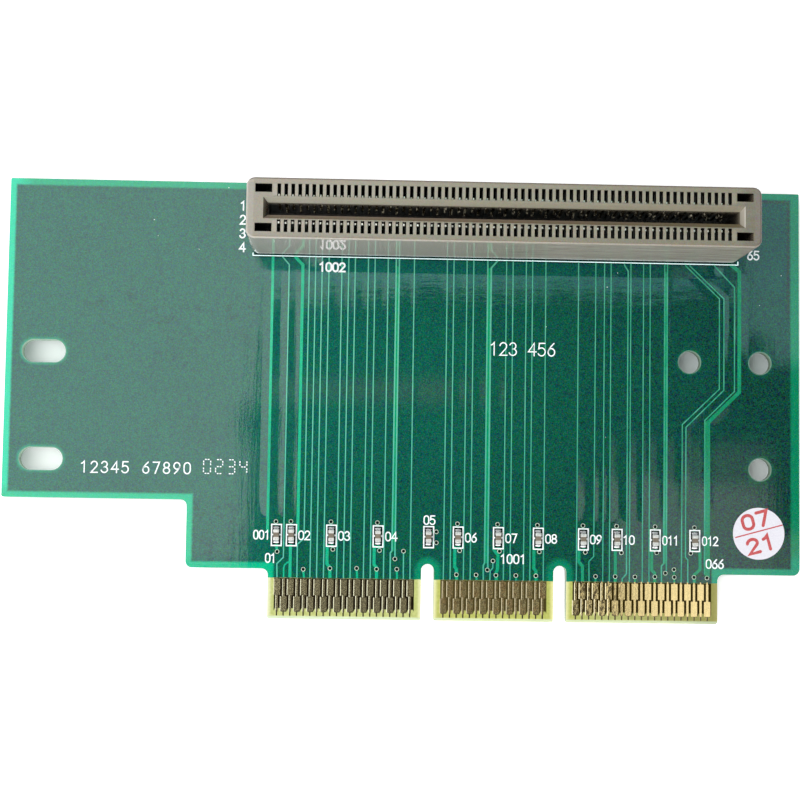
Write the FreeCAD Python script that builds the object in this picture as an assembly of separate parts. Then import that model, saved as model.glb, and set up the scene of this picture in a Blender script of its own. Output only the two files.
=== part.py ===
import FreeCAD, Part
import math
import os

V = FreeCAD.Vector
os.makedirs("parts", exist_ok=True)

# ---------------------------------------------------------------------------
# Driving dimensions, millimetres.
# Plan positions are given from a datum on the board: X from the centre line of
# the first edge contact, Y from the step between the two rows of contact pads.
# Heights are given from the component face of the board.
# ---------------------------------------------------------------------------
PITCH = 1.0                    # edge contact pitch
THICK = 1.6                    # board thickness
TAIL = 1.3                     # solder joints stand this far off the rear face

BOARD_L, BOARD_R = -41.66, 79.00
BOARD_T, BOARD_B = 62.57, -3.45
WING_Y = 14.18                 # lower edge of the left wing
NECK_X = -13.90                # left edge of the neck
SHOULDER_Y = 4.03              # lower edge beside the tab
TAB_L, TAB_R = -1.52, 66.45
BEVEL_Y, BEVEL_Z = 0.42, 0.40  # edge bevel, along the card and through it
NOTCH_X = (22.50, 42.50)       # key notch centres
NOTCH_W, NOTCH_TOP = 1.95, 5.02

HOLE_R = 1.70
ROUND_HOLES = ((62.12, 36.27), (72.95, 36.27), (72.95, 20.01))
SLOT_LEN, SLOT_W = 6.50, 3.40
SLOT_HOLES = ((-35.92, 36.27), (-35.92, 20.01))

# edge contacts: plan shape of one pad pair
FINGER_BLOCKS = ((1, 21), (26, 41), (46, 66))
FINGER_TOP, FINGER_LOW, FINGER_END = 2.52, -2.32, -2.98
FINGER_NECK = 2.80             # thin necks run up under the mask edge
FINGER_STEP = 0.10
FINGER_WIDE, FINGER_NARROW, FINGER_STUB = 1.06, 0.42, 0.18
FINGER_T = 0.04

# card-edge connector
COLS = 66
COL_X0 = -0.23                 # first contact column
CON_CY = 55.98                 # centre line of the connector
CON_CX = COL_X0 + (COLS - 1) * PITCH / 2
CON_LEN, CON_W = 74.40, 8.86
CON_R = 1.25                   # plan corner radius
CON_RIM = 0.38                 # rounding of the upper rim
CON_BASE, CON_TOP = 1.20, 15.10
SLOT_IN_L, SLOT_IN_W = 68.30, 1.80
SLOT_OUT_L, SLOT_OUT_W = 69.50, 3.14
SLOT_CHAMFER = 0.95
SLOT_FLOOR = 6.10
CAV_W = 0.46                   # contact cavity, along the connector
CAV_IN, CAV_OUT = 1.79, 3.46   # contact cavity, across from the centre line
MOUTH_W, MOUTH_IN, MOUTH_OUT = 0.53, 1.70, 3.50   # relieved mouth of the cavity
MOUTH_DEEP = 1.40
WIN_LOW, WIN_HIGH = 6.60, 13.20
CAV_FOOT_IN, CAV_FOOT_Z = 1.15, 1.55
POCKET_L, POCKET_W, POCKET_DEEP = 2.42, 1.22, 11.0
POCKET_DX, POCKET_DY = 34.72, 2.85
PEG_R, PEG_HOLE_R, PEG_DX = 1.15, 1.20, 35.45
PEG_OUT = 0.70                 # peg stands this far out of the rear face
FEET_X = (-35.45, -18.0, 0.0, 18.0, 35.45)

# contacts
STRIP_T, STRIP_W = 0.25, 0.32
BASE_U = CAV_OUT - STRIP_T / 2
TAIL_U_OUT, TAIL_U_IN = BASE_U, 1.50
TAIL_END = -THICK - 1.12
PIN_HOLE_R = 0.40

# vias
VIA_DRILL, VIA_BORE, VIA_RING, VIA_FOIL = 0.225, 0.19, 0.375, 0.03
VIAS = (
    (-0.45, 11.08), (1.80, 11.12), (7.83, 11.15), (14.83, 11.12), (26.93, 11.13),
    (33.00, 11.13), (39.04, 11.10), (45.96, 11.13), (51.07, 11.12), (56.93, 11.12),
    (62.93, 11.08), (-0.19, 6.57), (8.18, 7.02), (15.21, 6.95), (23.74, 9.88),
    (23.76, 8.24), (27.30, 7.09), (33.32, 7.09), (39.36, 7.09), (46.35, 7.11),
    (51.83, 7.12), (57.19, 7.20), (62.38, 7.19), (18.83, 6.90), (17.55, 5.71),
    (3.79, 3.97), (7.79, 4.17), (11.81, 4.22), (14.81, 4.14), (17.86, 4.17),
    (26.86, 3.48), (29.83, 3.48), (32.83, 3.48), (35.85, 3.48), (38.87, 3.48),
    (31.52, 4.26), (32.36, 5.62), (47.92, 3.52), (50.90, 3.52), (53.90, 3.52),
    (56.93, 3.58), (59.88, 3.55), (62.88, 3.58), (64.86, 3.50), (58.52, 4.14),
    (59.83, 4.70),
)

# chip capacitors, long side across the card
CAP_Y = 9.10
CAP_X = (-0.36, 1.89, 7.91, 14.94, 22.57, 27.03, 33.11, 39.16, 46.00, 51.13, 56.94, 62.97)
CAP_L, CAP_W, CAP_H = 1.56, 0.80, 0.80
TERM_L, TERM_T = 0.36, 0.03
FILLET_L, FILLET_H = 0.42, 0.60

# inspection sticker
STICKER_X, STICKER_Y, STICKER_R, STICKER_T = 72.74, 10.30, 3.93, 0.10

# ---------------------------------------------------------------------------
# The part's own origin: under the middle of the outline, on the surface that the
# solder joints stand on.
# ---------------------------------------------------------------------------
SHIFT = V(-(BOARD_L + BOARD_R) / 2, -(BOARD_T + BOARD_B) / 2, THICK + TAIL)


def save(name, shape):
    s = shape.copy()
    s.translate(SHIFT)
    s.exportStep("parts/%s.step" % name)


def group(shapes):
    return shapes[0] if len(shapes) == 1 else Part.makeCompound(shapes)


def rounded(points, z):
    """Closed wire through (x, y, radius) corners at height z."""
    n, runs = len(points), []
    for i in range(n):
        x, y, r = points[i]
        v = V(x, y, z)
        if r <= 0:
            runs.append((v, None, v))
            continue
        a = (V(points[i - 1][0], points[i - 1][1], z) - v).normalize()
        b = (V(points[(i + 1) % n][0], points[(i + 1) % n][1], z) - v).normalize()
        half = a.getAngle(b) / 2
        t = r / math.tan(half)
        mid = (a + b).normalize()
        c = v + mid * (r / math.sin(half))
        runs.append((v + a * t, c - mid * r, v + b * t))
    edges = []
    for i in range(n):
        p, m, q = runs[i]
        if m is not None:
            edges.append(Part.Arc(p, m, q).toShape())
        nxt = runs[(i + 1) % n][0]
        if q.distanceToPoint(nxt) > 1e-6:
            edges.append(Part.LineSegment(q, nxt).toShape())
    return Part.Wire(edges)


def circle(x, y, r, z):
    return Part.Wire([Part.makeCircle(r, V(x, y, z))])


def polygon(points):
    return Part.makePolygon(list(points) + [points[0]])


def prism_x(profile, x0, width):
    """Solid from a (y, z) profile, run along X from x0."""
    return Part.Face(polygon([V(x0, y, z) for y, z in profile])).extrude(V(width, 0, 0))


def turned(profile):
    """Solid of revolution about Z from an (r, z) profile."""
    return Part.Face(polygon([V(r, 0, z) for r, z in profile])).revolve(V(0, 0, 0), V(0, 0, 1), 360)


def moved(shape, x, y, z=0.0):
    s = shape.copy()
    s.translate(V(x, y, z))
    return s


def box(x0, x1, y0, y1, z0, z1):
    return Part.makeBox(x1 - x0, y1 - y0, z1 - z0, V(x0, y0, z0))


# ---------------------------------------------------------------------------
# Contact columns: row A lies above the connector's centre line, row B below it.
# Odd columns are the upper level, with tails in the outer rows.
# ---------------------------------------------------------------------------
columns = []
for i in range(COLS):
    x = COL_X0 + i * PITCH
    for row, side in (("a", 1), ("b", -1)):
        level = "upper" if i % 2 == 0 else "lower"
        columns.append((row, side, level, x))


def tail_y(side, level):
    return CON_CY + side * (TAIL_U_OUT if level == "upper" else TAIL_U_IN)


# ---------------------------------------------------------------------------
# Board
# ---------------------------------------------------------------------------
nw = NOTCH_W / 2
outline = [(BOARD_L, BOARD_T, 0.25), (BOARD_L, WING_Y, 0.35), (NECK_X, WING_Y, 0.95),
           (NECK_X, SHOULDER_Y, 0.95), (TAB_L, SHOULDER_Y, 0.95), (TAB_L, BOARD_B, 0.30)]
for nx in NOTCH_X:
    outline += [(nx - nw, BOARD_B, 0.20), (nx - nw, NOTCH_TOP, nw), (nx + nw, NOTCH_TOP, nw), (nx + nw, BOARD_B, 0.20)]
outline += [(TAB_R, BOARD_B, 0.30), (TAB_R, SHOULDER_Y, 0.95), (BOARD_R, SHOULDER_Y, 1.00), (BOARD_R, BOARD_T, 0.25)]

wires = [rounded(outline, -THICK)]
for x, y in ROUND_HOLES:
    wires.append(circle(x, y, HOLE_R, -THICK))
for x, y in SLOT_HOLES:
    hl, hw = SLOT_LEN / 2, SLOT_W / 2
    wires.append(rounded([(x - hl, y - hw, hw), (x + hl, y - hw, hw), (x + hl, y + hw, hw), (x - hl, y + hw, hw)], -THICK))
for row, side, level, x in columns:
    wires.append(circle(x, tail_y(side, level), PIN_HOLE_R, -THICK))
for x, y in VIAS:
    wires.append(circle(x, y, VIA_DRILL, -THICK))
for dx in (-PEG_DX, PEG_DX):
    wires.append(circle(CON_CX + dx, CON_CY, PEG_HOLE_R, -THICK))
pcb = Part.makeFace(wires, "Part::FaceMakerBullseye").extrude(V(0, 0, THICK))
y1, y0 = BOARD_B + BEVEL_Y, BOARD_B - 0.5
k = BEVEL_Z / BEVEL_Y
bevels = []
for z, s in ((0.0, 1), (-THICK, -1)):
    bevels.append(prism_x([(y1, z), (y1, z + s * 0.6), (y0, z + s * 0.6), (y0, z - s * k * (y1 - y0))], TAB_L - 1, TAB_R - TAB_L + 2))
pcb = pcb.cut(bevels).Solids[0]
save("pcb", pcb)

# ---------------------------------------------------------------------------
# Edge contacts on both faces of the tab
# ---------------------------------------------------------------------------
front, rear = [], []
for first, last in FINGER_BLOCKS:
    for p in range(first, last + 1):
        x = (p - 1) * PITCH
        w, s, e = FINGER_WIDE / 2, FINGER_NARROW / 2, FINGER_STUB / 2
        if p % 2:
            up, low, step = w, s, FINGER_STEP
        else:
            up, low, step = s, w, -FINGER_STEP
        pts = [(e, FINGER_NECK), (e, FINGER_TOP), (up, FINGER_TOP), (up, step), (low, step), (low, FINGER_LOW), (e, FINGER_LOW - 0.12), (e, FINGER_END)]
        pts = pts + [(-a, b) for a, b in reversed(pts)]
        face = Part.Face(polygon([V(x + a, b, 0) for a, b in pts]))
        front.append(face.extrude(V(0, 0, FINGER_T)))
        rear.append(moved(face.extrude(V(0, 0, FINGER_T)), 0, 0, -THICK - FINGER_T))
save("edge_contacts_front", group(front))
save("edge_contacts_rear", group(rear))

# ---------------------------------------------------------------------------
# Vias: plated barrels with a ring pad on each face
# ---------------------------------------------------------------------------
b, f = -THICK, VIA_FOIL
via = turned([(VIA_BORE, b - f), (VIA_RING, b - f), (VIA_RING, b), (VIA_DRILL, b), (VIA_DRILL, 0),
              (VIA_RING, 0), (VIA_RING, f), (VIA_BORE, f)])
save("via_barrels", group([moved(via, x, y) for x, y in VIAS]))

# ---------------------------------------------------------------------------
# Connector housing
# ---------------------------------------------------------------------------
hl, hw = CON_LEN / 2, CON_W / 2
plan = [(-hl, -hw, CON_R), (hl, -hw, CON_R), (hl, hw, CON_R), (-hl, hw, CON_R)]
housing = Part.Face(rounded(plan, CON_BASE)).extrude(V(0, 0, CON_TOP - CON_BASE))
rim = [e for e in housing.Edges if e.BoundBox.ZMin > CON_TOP - 1e-4]
housing = housing.makeFillet(CON_RIM, rim)
feet = []
for fx in FEET_X:
    feet.append(box(fx - 1.4, fx + 1.4, -0.85, 0.85, 0.0, CON_BASE + 0.3))
for dx in (-PEG_DX, PEG_DX):
    tip = -THICK - PEG_OUT
    peg = turned([(0, tip), (PEG_R - 0.35, tip), (PEG_R, tip + 0.5), (PEG_R, CON_BASE + 0.3), (0, CON_BASE + 0.3)])
    feet.append(moved(peg, dx, 0))
housing = housing.fuse(feet).removeSplitter()
il, iw, ol, ow = SLOT_IN_L / 2, SLOT_IN_W / 2, SLOT_OUT_L / 2, SLOT_OUT_W / 2
slot = box(-il, il, -iw, iw, SLOT_FLOOR, CON_TOP + 0.5)
zc = CON_TOP - SLOT_CHAMFER
lead = Part.makeLoft([polygon([V(-il, -iw, zc), V(il, -iw, zc), V(il, iw, zc), V(-il, iw, zc)]),
                      polygon([V(-ol, -ow, CON_TOP), V(ol, -ow, CON_TOP), V(ol, ow, CON_TOP), V(-ol, ow, CON_TOP)])], True, True)
housing = housing.cut(slot).cut(lead)
tools = []
profile = [(CAV_IN, CON_TOP + 0.5), (CAV_OUT, CON_TOP + 0.5), (CAV_OUT, CON_BASE - 0.1), (CAV_FOOT_IN, CON_BASE - 0.1),
           (CAV_FOOT_IN, CAV_FOOT_Z), (CAV_IN, CAV_FOOT_Z), (CAV_IN, WIN_LOW), (0.45, WIN_LOW), (0.45, WIN_HIGH), (CAV_IN, WIN_HIGH)]
for row, side, level, x in columns:
    tools.append(prism_x([(side * u, z) for u, z in profile], x - CON_CX - CAV_W / 2, CAV_W))
    v0, v1 = sorted((side * MOUTH_IN, side * MOUTH_OUT))
    tools.append(box(x - CON_CX - MOUTH_W / 2, x - CON_CX + MOUTH_W / 2, v0, v1, CON_TOP - MOUTH_DEEP, CON_TOP + 0.5))
for sx in (-1, 1):
    for sy in (-1, 1):
        cx, cy = sx * POCKET_DX, sy * POCKET_DY
        tools.append(box(cx - POCKET_L / 2, cx + POCKET_L / 2, cy - POCKET_W / 2, cy + POCKET_W / 2, CON_TOP - POCKET_DEEP, CON_TOP + 0.5))
housing = housing.cut(tools)
print("housing", housing.ShapeType, len(housing.Solids), housing.isValid(), len(housing.Faces))
housing = housing.Solids[0]
# The moulding is kept as five blocks that meet face to face around the card slot:
# a base up to the slot's floor, two long walls and two ends.
far = hl + 1
blocks = (
    ("connector_base", box(-far, far, -far, far, -THICK - 3, SLOT_FLOOR)),
    ("connector_wall_a", box(-il, il, 0, far, SLOT_FLOOR, CON_TOP + 1)),
    ("connector_wall_b", box(-il, il, -far, 0, SLOT_FLOOR, CON_TOP + 1)),
    ("connector_end_left", box(-far, -il, -far, far, SLOT_FLOOR, CON_TOP + 1)),
    ("connector_end_right", box(il, far, -far, far, SLOT_FLOOR, CON_TOP + 1)),
)
for name, block in blocks:
    part = housing.common(block)
    print(name, len(part.Solids), part.isValid(), round(part.Volume, 3))
    save(name, moved(part.Solids[0], CON_CX, CON_CY))


# ---------------------------------------------------------------------------
# Contacts: bent strip springs, a press-in block in the cavity and a solder tail
# ---------------------------------------------------------------------------
def strip(path, t):
    """Mitred outline of a strip of thickness t about a (u, z) path."""
    left, right = [], []
    n = len(path)
    for i in range(n):
        u, z = path[i]
        dirs = []
        if i > 0:
            dirs.append((u - path[i - 1][0], z - path[i - 1][1]))
        if i < n - 1:
            dirs.append((path[i + 1][0] - u, path[i + 1][1] - z))
        norms = []
        for du, dz in dirs:
            q = math.hypot(du, dz)
            norms.append((-dz / q, du / q))
        mu, mz = sum(a for a, _ in norms), sum(c for _, c in norms)
        q = math.hypot(mu, mz)
        mu, mz = mu / q, mz / q
        k = (t / 2) / (mu * norms[0][0] + mz * norms[0][1])
        left.append((u + mu * k, z + mz * k))
        right.append((u - mu * k, z - mz * k))
    return left + right[::-1]


UPPER = [(BASE_U, TAIL_END), (BASE_U, 5.20), (2.95, 6.50), (2.05, 8.60), (1.05, 10.55), (0.70, 11.05), (0.58, 11.40),
         (0.70, 11.75), (1.25, 12.25), (1.80, 12.68), (1.98, 13.00), (1.99, 14.35)]
LOWER = [(TAIL_U_IN, TAIL_END), (TAIL_U_IN, 0.52), (BASE_U - 0.15, 1.12), (BASE_U, 1.40), (BASE_U, 5.20), (2.80, 6.25),
         (1.62, 7.75), (0.92, 8.45), (0.66, 8.75), (0.58, 9.05), (0.70, 9.40), (1.25, 9.95), (1.80, 10.45), (1.98, 10.80), (1.99, 14.05)]
BLOCK = (2.0, 4.8)


def contact(path, side):
    p = prism_x([(side * u, z) for u, z in strip(path, STRIP_T)], -STRIP_W / 2, STRIP_W)
    u0, u1 = sorted((side * (CAV_OUT - STRIP_T), side * CAV_OUT))
    return p.fuse(box(-CAV_W / 2, CAV_W / 2, u0, u1, BLOCK[0], BLOCK[1])).removeSplitter().Solids[0]


for row, side in (("a", 1), ("b", -1)):
    for level, path in (("upper", UPPER), ("lower", LOWER)):
        one = contact(path, side)
        xs = [c[3] for c in columns if c[0] == row and c[2] == level]
        save("contacts_row_%s_%s" % (row, level), group([moved(one, x, CON_CY) for x in xs]))

# ---------------------------------------------------------------------------
# Rear solder joints: fill of each plated hole and the cone over the tail
# ---------------------------------------------------------------------------
b = -THICK
joint = turned([(0, 0), (PIN_HOLE_R, 0), (PIN_HOLE_R, b), (0.62, b), (0.60, b - 0.06), (0.46, b - 0.24), (0.36, b - 0.48),
                (0.30, b - 0.80), (0.27, b - 1.08), (0.20, b - 1.22), (0.10, b - TAIL), (0, b - TAIL)])
joint = joint.cut(box(-STRIP_W / 2, STRIP_W / 2, -STRIP_T / 2, STRIP_T / 2, TAIL_END, 1.0)).Solids[0]
for row, side in (("a", 1), ("b", -1)):
    for level, place in (("upper", "outer"), ("lower", "inner")):
        xs = [c[3] for c in columns if c[0] == row and c[2] == level]
        save("solder_joints_row_%s_%s" % (row, place), group([moved(joint, x, tail_y(side, level)) for x in xs]))

# ---------------------------------------------------------------------------
# Chip capacitors with plated ends and their solder fillets
# ---------------------------------------------------------------------------
body = box(-CAP_W / 2, CAP_W / 2, -CAP_L / 2, CAP_L / 2, TERM_T, TERM_T + CAP_H)
body = body.makeFillet(0.05, body.Edges)
tw, th, te = CAP_W / 2 + TERM_T, CAP_H + 2 * TERM_T, CAP_L / 2 + TERM_T
terms, fillets = [], []
for s in (-1, 1):
    ya, yb = sorted((s * (te - TERM_L), s * te))
    t = box(-tw, tw, ya, yb, 0, th)
    outer = [e for e in t.Edges if not (abs(e.BoundBox.YMax - s * (te - TERM_L)) < 1e-4 and e.BoundBox.YLength < 1e-4)]
    t = t.makeFillet(0.08, outer)
    terms.append(t.cut(body).Solids[0])
    prof = [(te, 0.0), (te + FILLET_L, 0.0), (te + FILLET_L * 0.93, 0.07), (te + FILLET_L * 0.62, 0.17), (te + FILLET_L * 0.34, 0.31),
            (te + FILLET_L * 0.13, 0.48), (te, FILLET_H)]
    fillets.append(prism_x([(s * a, c) for a, c in prof], -tw + 0.1, 2 * tw - 0.2))
solder = []
for n, cx in enumerate(CAP_X, 1):
    save("capacitor_%02d_body" % n, moved(body, cx, CAP_Y))
    save("capacitor_%02d_ends" % n, group([moved(t, cx, CAP_Y) for t in terms]))
    solder += [moved(q, cx, CAP_Y) for q in fillets]
save("capacitor_solder", group(solder))

# ---------------------------------------------------------------------------
# Inspection sticker
# ---------------------------------------------------------------------------
save("inspection_sticker", Part.makeCylinder(STICKER_R, STICKER_T, V(STICKER_X, STICKER_Y, 0)))
print("done", len(os.listdir("parts")), "parts")
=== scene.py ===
import math
import random

import bpy
import bmesh
from mathutils import Matrix, Vector


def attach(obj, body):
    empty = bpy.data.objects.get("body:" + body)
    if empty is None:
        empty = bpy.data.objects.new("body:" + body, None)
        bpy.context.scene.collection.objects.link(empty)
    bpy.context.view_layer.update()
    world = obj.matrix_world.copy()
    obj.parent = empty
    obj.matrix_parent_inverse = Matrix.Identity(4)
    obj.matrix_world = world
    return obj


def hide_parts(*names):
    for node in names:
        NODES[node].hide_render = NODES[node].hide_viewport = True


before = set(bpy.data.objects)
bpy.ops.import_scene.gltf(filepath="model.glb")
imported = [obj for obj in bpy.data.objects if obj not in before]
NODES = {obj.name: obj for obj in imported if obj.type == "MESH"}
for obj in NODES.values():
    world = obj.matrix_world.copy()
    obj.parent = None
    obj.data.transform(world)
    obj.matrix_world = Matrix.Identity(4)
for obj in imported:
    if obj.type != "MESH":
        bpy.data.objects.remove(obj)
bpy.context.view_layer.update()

# ---------------------------------------------------------------------------
# Plan coordinates are millimetres from the board's own datum: X from the first
# edge contact, Y from the step between the contact rows, Z from the component
# face. SHIFT takes them to the part's frame.
# ---------------------------------------------------------------------------
SHIFT = (-18.67, -29.56, 2.90)
THICK = 1.6


def at(x, y, z=0.0):
    return ((x + SHIFT[0]) * 0.001, (y + SHIFT[1]) * 0.001, (z + SHIFT[2]) * 0.001)


CAP_Y = 9.10
CAP_X = (-0.36, 1.89, 7.91, 14.94, 22.57, 27.03, 33.11, 39.16, 46.00, 51.13, 56.94, 62.97)
VIAS = (
    (-0.45, 11.08), (1.80, 11.12), (7.83, 11.15), (14.83, 11.12), (26.93, 11.13),
    (33.00, 11.13), (39.04, 11.10), (45.96, 11.13), (51.07, 11.12), (56.93, 11.12),
    (62.93, 11.08), (-0.19, 6.57), (8.18, 7.02), (15.21, 6.95), (23.74, 9.88),
    (23.76, 8.24), (27.30, 7.09), (33.32, 7.09), (39.36, 7.09), (46.35, 7.11),
    (51.83, 7.12), (57.19, 7.20), (62.38, 7.19), (18.83, 6.90), (17.55, 5.71),
    (3.79, 3.97), (7.79, 4.17), (11.81, 4.22), (14.81, 4.14), (17.86, 4.17),
    (26.86, 3.48), (29.83, 3.48), (32.83, 3.48), (35.85, 3.48), (38.87, 3.48),
    (31.52, 4.26), (32.36, 5.62), (47.92, 3.52), (50.90, 3.52), (53.90, 3.52),
    (56.93, 3.58), (59.88, 3.55), (62.88, 3.58), (64.86, 3.50), (58.52, 4.14),
    (59.83, 4.70),
)
ROUND_HOLES = ((62.12, 36.27), (72.95, 36.27), (72.95, 20.01))
SLOT_HOLES = ((-35.92, 36.27), (-35.92, 20.01))
STICKER = (72.74, 10.30, 3.93, 0.10)
COL_X0, CON_CY, TAIL_OUT, TAIL_IN = -0.23, 55.98, 3.335, 1.50
CON_CX, CON_HL, CON_HW, CON_TOP = 32.27, 37.20, 4.43, 15.10
BLOCKS = ((1, 21), (26, 41), (46, 66))


# ---------------------------------------------------------------------------
# Node graphs
# ---------------------------------------------------------------------------
class Graph:
    def __init__(self, name):
        self.mat = bpy.data.materials.new(name)
        self.mat.use_nodes = True
        self.tree = self.mat.node_tree
        self.tree.nodes.clear()
        self.out = self.new("ShaderNodeOutputMaterial")
        self.bsdf = self.new("ShaderNodeBsdfPrincipled")
        self.link(self.bsdf.outputs[0], self.out.inputs[0])
        self.tc = self.new("ShaderNodeTexCoord")
        scale = self.new("ShaderNodeVectorMath")
        scale.operation = "MULTIPLY_ADD"
        scale.inputs[1].default_value = (1000.0, 1000.0, 1000.0)
        scale.inputs[2].default_value = (-SHIFT[0], -SHIFT[1], -SHIFT[2])
        self.link(self.tc.outputs["Object"], scale.inputs[0])
        self.pos = scale.outputs[0]
        self._xyz = None

    def new(self, kind):
        return self.tree.nodes.new(kind)

    def link(self, a, b):
        self.tree.links.new(a, b)

    def put(self, value, socket):
        if isinstance(value, bpy.types.NodeSocket):
            self.link(value, socket)
        elif hasattr(value, "__len__") and len(value) == 3 and socket.type == "RGBA":
            socket.default_value = (*value, 1.0)
        else:
            socket.default_value = value

    def xyz(self):
        if self._xyz is None:
            s = self.new("ShaderNodeSeparateXYZ")
            self.link(self.pos, s.inputs[0])
            self._xyz = s.outputs[0], s.outputs[1], s.outputs[2]
        return self._xyz

    def normal(self):
        s = self.new("ShaderNodeSeparateXYZ")
        self.link(self.tc.outputs["Normal"], s.inputs[0])
        return s.outputs[0], s.outputs[1], s.outputs[2]

    def math(self, op, a, b=None, c=None, clamp=False):
        n = self.new("ShaderNodeMath")
        n.operation = op
        n.use_clamp = clamp
        for v, s in zip((a, b, c), n.inputs):
            if v is not None:
                self.put(v, s)
        return n.outputs[0]

    def vmath(self, op, a, b):
        n = self.new("ShaderNodeVectorMath")
        n.operation = op
        self.put(a, n.inputs[0])
        self.put(b, n.inputs[1])
        return n.outputs[0]

    def stretch(self, sx, sy, sz, vec=None):
        return self.vmath("MULTIPLY", vec or self.pos, (sx, sy, sz))

    def noise(self, scale, detail=2.0, rough=0.5, vec=None, distort=0.0, out="Fac"):
        n = self.new("ShaderNodeTexNoise")
        n.inputs["Scale"].default_value = scale
        n.inputs["Detail"].default_value = detail
        n.inputs["Roughness"].default_value = rough
        n.inputs["Distortion"].default_value = distort
        self.link(vec or self.pos, n.inputs["Vector"])
        return n.outputs[out]

    def grain(self, base, scale, amount):
        """Fine uneven colour added to a base colour, at one scale and at a third of it."""
        fine = self.vmath("SUBTRACT", self.noise(scale, 1.0, 0.5, None, 0.0, "Color"), (0.5, 0.5, 0.5))
        wide = self.vmath("SUBTRACT", self.noise(scale * 0.36, 1.0, 0.5, None, 0.0, "Color"), (0.5, 0.5, 0.5))
        n = self.vmath("ADD", fine, self.vmath("MULTIPLY", wide, (0.24, 0.24, 0.24)))
        return self.vmath("MAXIMUM", self.vmath("ADD", base, self.vmath("MULTIPLY", n, amount)), (0.0, 0.0, 0.0))

    def ramp(self, v, *stops):
        """Colour that runs straight from stop to stop: (position, colour), ..."""
        out = stops[0][1]
        for (a, _), (b, c) in zip(stops, stops[1:]):
            out = self.mix(self.span(v, a, b, smooth=False), out, c)
        return out

    def span(self, v, a, b, lo=0.0, hi=1.0, smooth=True):
        n = self.new("ShaderNodeMapRange")
        n.interpolation_type = "SMOOTHSTEP" if smooth else "LINEAR"
        n.clamp = True
        self.put(v, n.inputs[0])
        n.inputs[1].default_value = a
        n.inputs[2].default_value = b
        n.inputs[3].default_value = lo
        n.inputs[4].default_value = hi
        return n.outputs[0]

    def mix(self, f, a, b):
        n = self.new("ShaderNodeMix")
        n.data_type = "RGBA"
        self.put(f, n.inputs[0])
        self.put(a, n.inputs[6])
        self.put(b, n.inputs[7])
        return n.outputs[2]

    def box(self, x0, x1, y0, y1):
        """Distance inside a plan rectangle, negative outside it."""
        x, y, _ = self.xyz()
        dx = self.math("MINIMUM", self.math("SUBTRACT", x, x0), self.math("SUBTRACT", x1, x))
        dy = self.math("MINIMUM", self.math("SUBTRACT", y, y0), self.math("SUBTRACT", y1, y))
        return self.math("MINIMUM", dx, dy)

    def away(self, x0, x1, y0, y1):
        """Plan distance to a rectangle that may be a line or a point."""
        x, y, _ = self.xyz()
        dx = self.math("MAXIMUM", self.math("MAXIMUM", self.math("SUBTRACT", x0, x), self.math("SUBTRACT", x, x1)), 0.0)
        dy = self.math("MAXIMUM", self.math("MAXIMUM", self.math("SUBTRACT", y0, y), self.math("SUBTRACT", y, y1)), 0.0)
        return self.math("SQRT", self.math("ADD", self.math("MULTIPLY", dx, dx), self.math("MULTIPLY", dy, dy)))

    def hump(self, v, centre, width):
        """Smooth ridge of height 1."""
        t = self.math("DIVIDE", self.math("SUBTRACT", v, centre), width)
        return self.math("EXPONENT", self.math("MULTIPLY", self.math("MULTIPLY", t, t), -1.0))

    def relief(self, *terms):
        """Normal from a height in millimetres: a sum of (field, amount) terms."""
        total = None
        for field, amount in terms:
            t = self.math("MULTIPLY", field, amount)
            total = t if total is None else self.math("ADD", total, t)
        n = self.new("ShaderNodeBump")
        n.inputs["Strength"].default_value = 1.0
        n.inputs["Distance"].default_value = 0.001
        self.link(total, n.inputs["Height"])
        return n.outputs[0]

    def set(self, **kw):
        names = {"color": "Base Color", "metal": "Metallic", "rough": "Roughness", "ior": "IOR", "normal": "Normal",
                 "spec": "Specular IOR Level", "glow": "Emission Color", "glow_s": "Emission Strength"}
        for k, v in kw.items():
            self.put(v, self.bsdf.inputs[names[k]])
        return self.mat


def mask_relief(g):
    """Flow marks of the cured mask: faint streaks that run along the card, waves beside the connector, fine peel."""
    x, y, z = g.xyz()
    streak = g.noise(1.0, 3.0, 0.55, g.stretch(0.52, 0.032, 0.3), 0.3)
    fine = g.noise(1.0, 2.0, 0.5, g.stretch(2.3, 0.40, 1.0))
    wave = g.noise(1.0, 3.0, 0.6, g.stretch(0.16, 0.95, 0.3), 0.3)
    wave = g.math("MULTIPLY", g.math("SUBTRACT", wave, 0.5), g.span(y, 41.5, 45.5))
    peel = g.noise(2.8, 3.0, 0.65)
    rise = g.math("MULTIPLY", g.math("MAXIMUM", g.math("SUBTRACT", g.math("MINIMUM", y, 52.0), 49.15), 0.0), g.math("MULTIPLY", g.span(x, 2.0, 7.0), g.span(x, 67.5, 64.5)))
    return g.relief((streak, 0.0075), (fine, 0.0018), (wave, 0.0062), (peel, 0.0026), (rise, 0.085))


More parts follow.
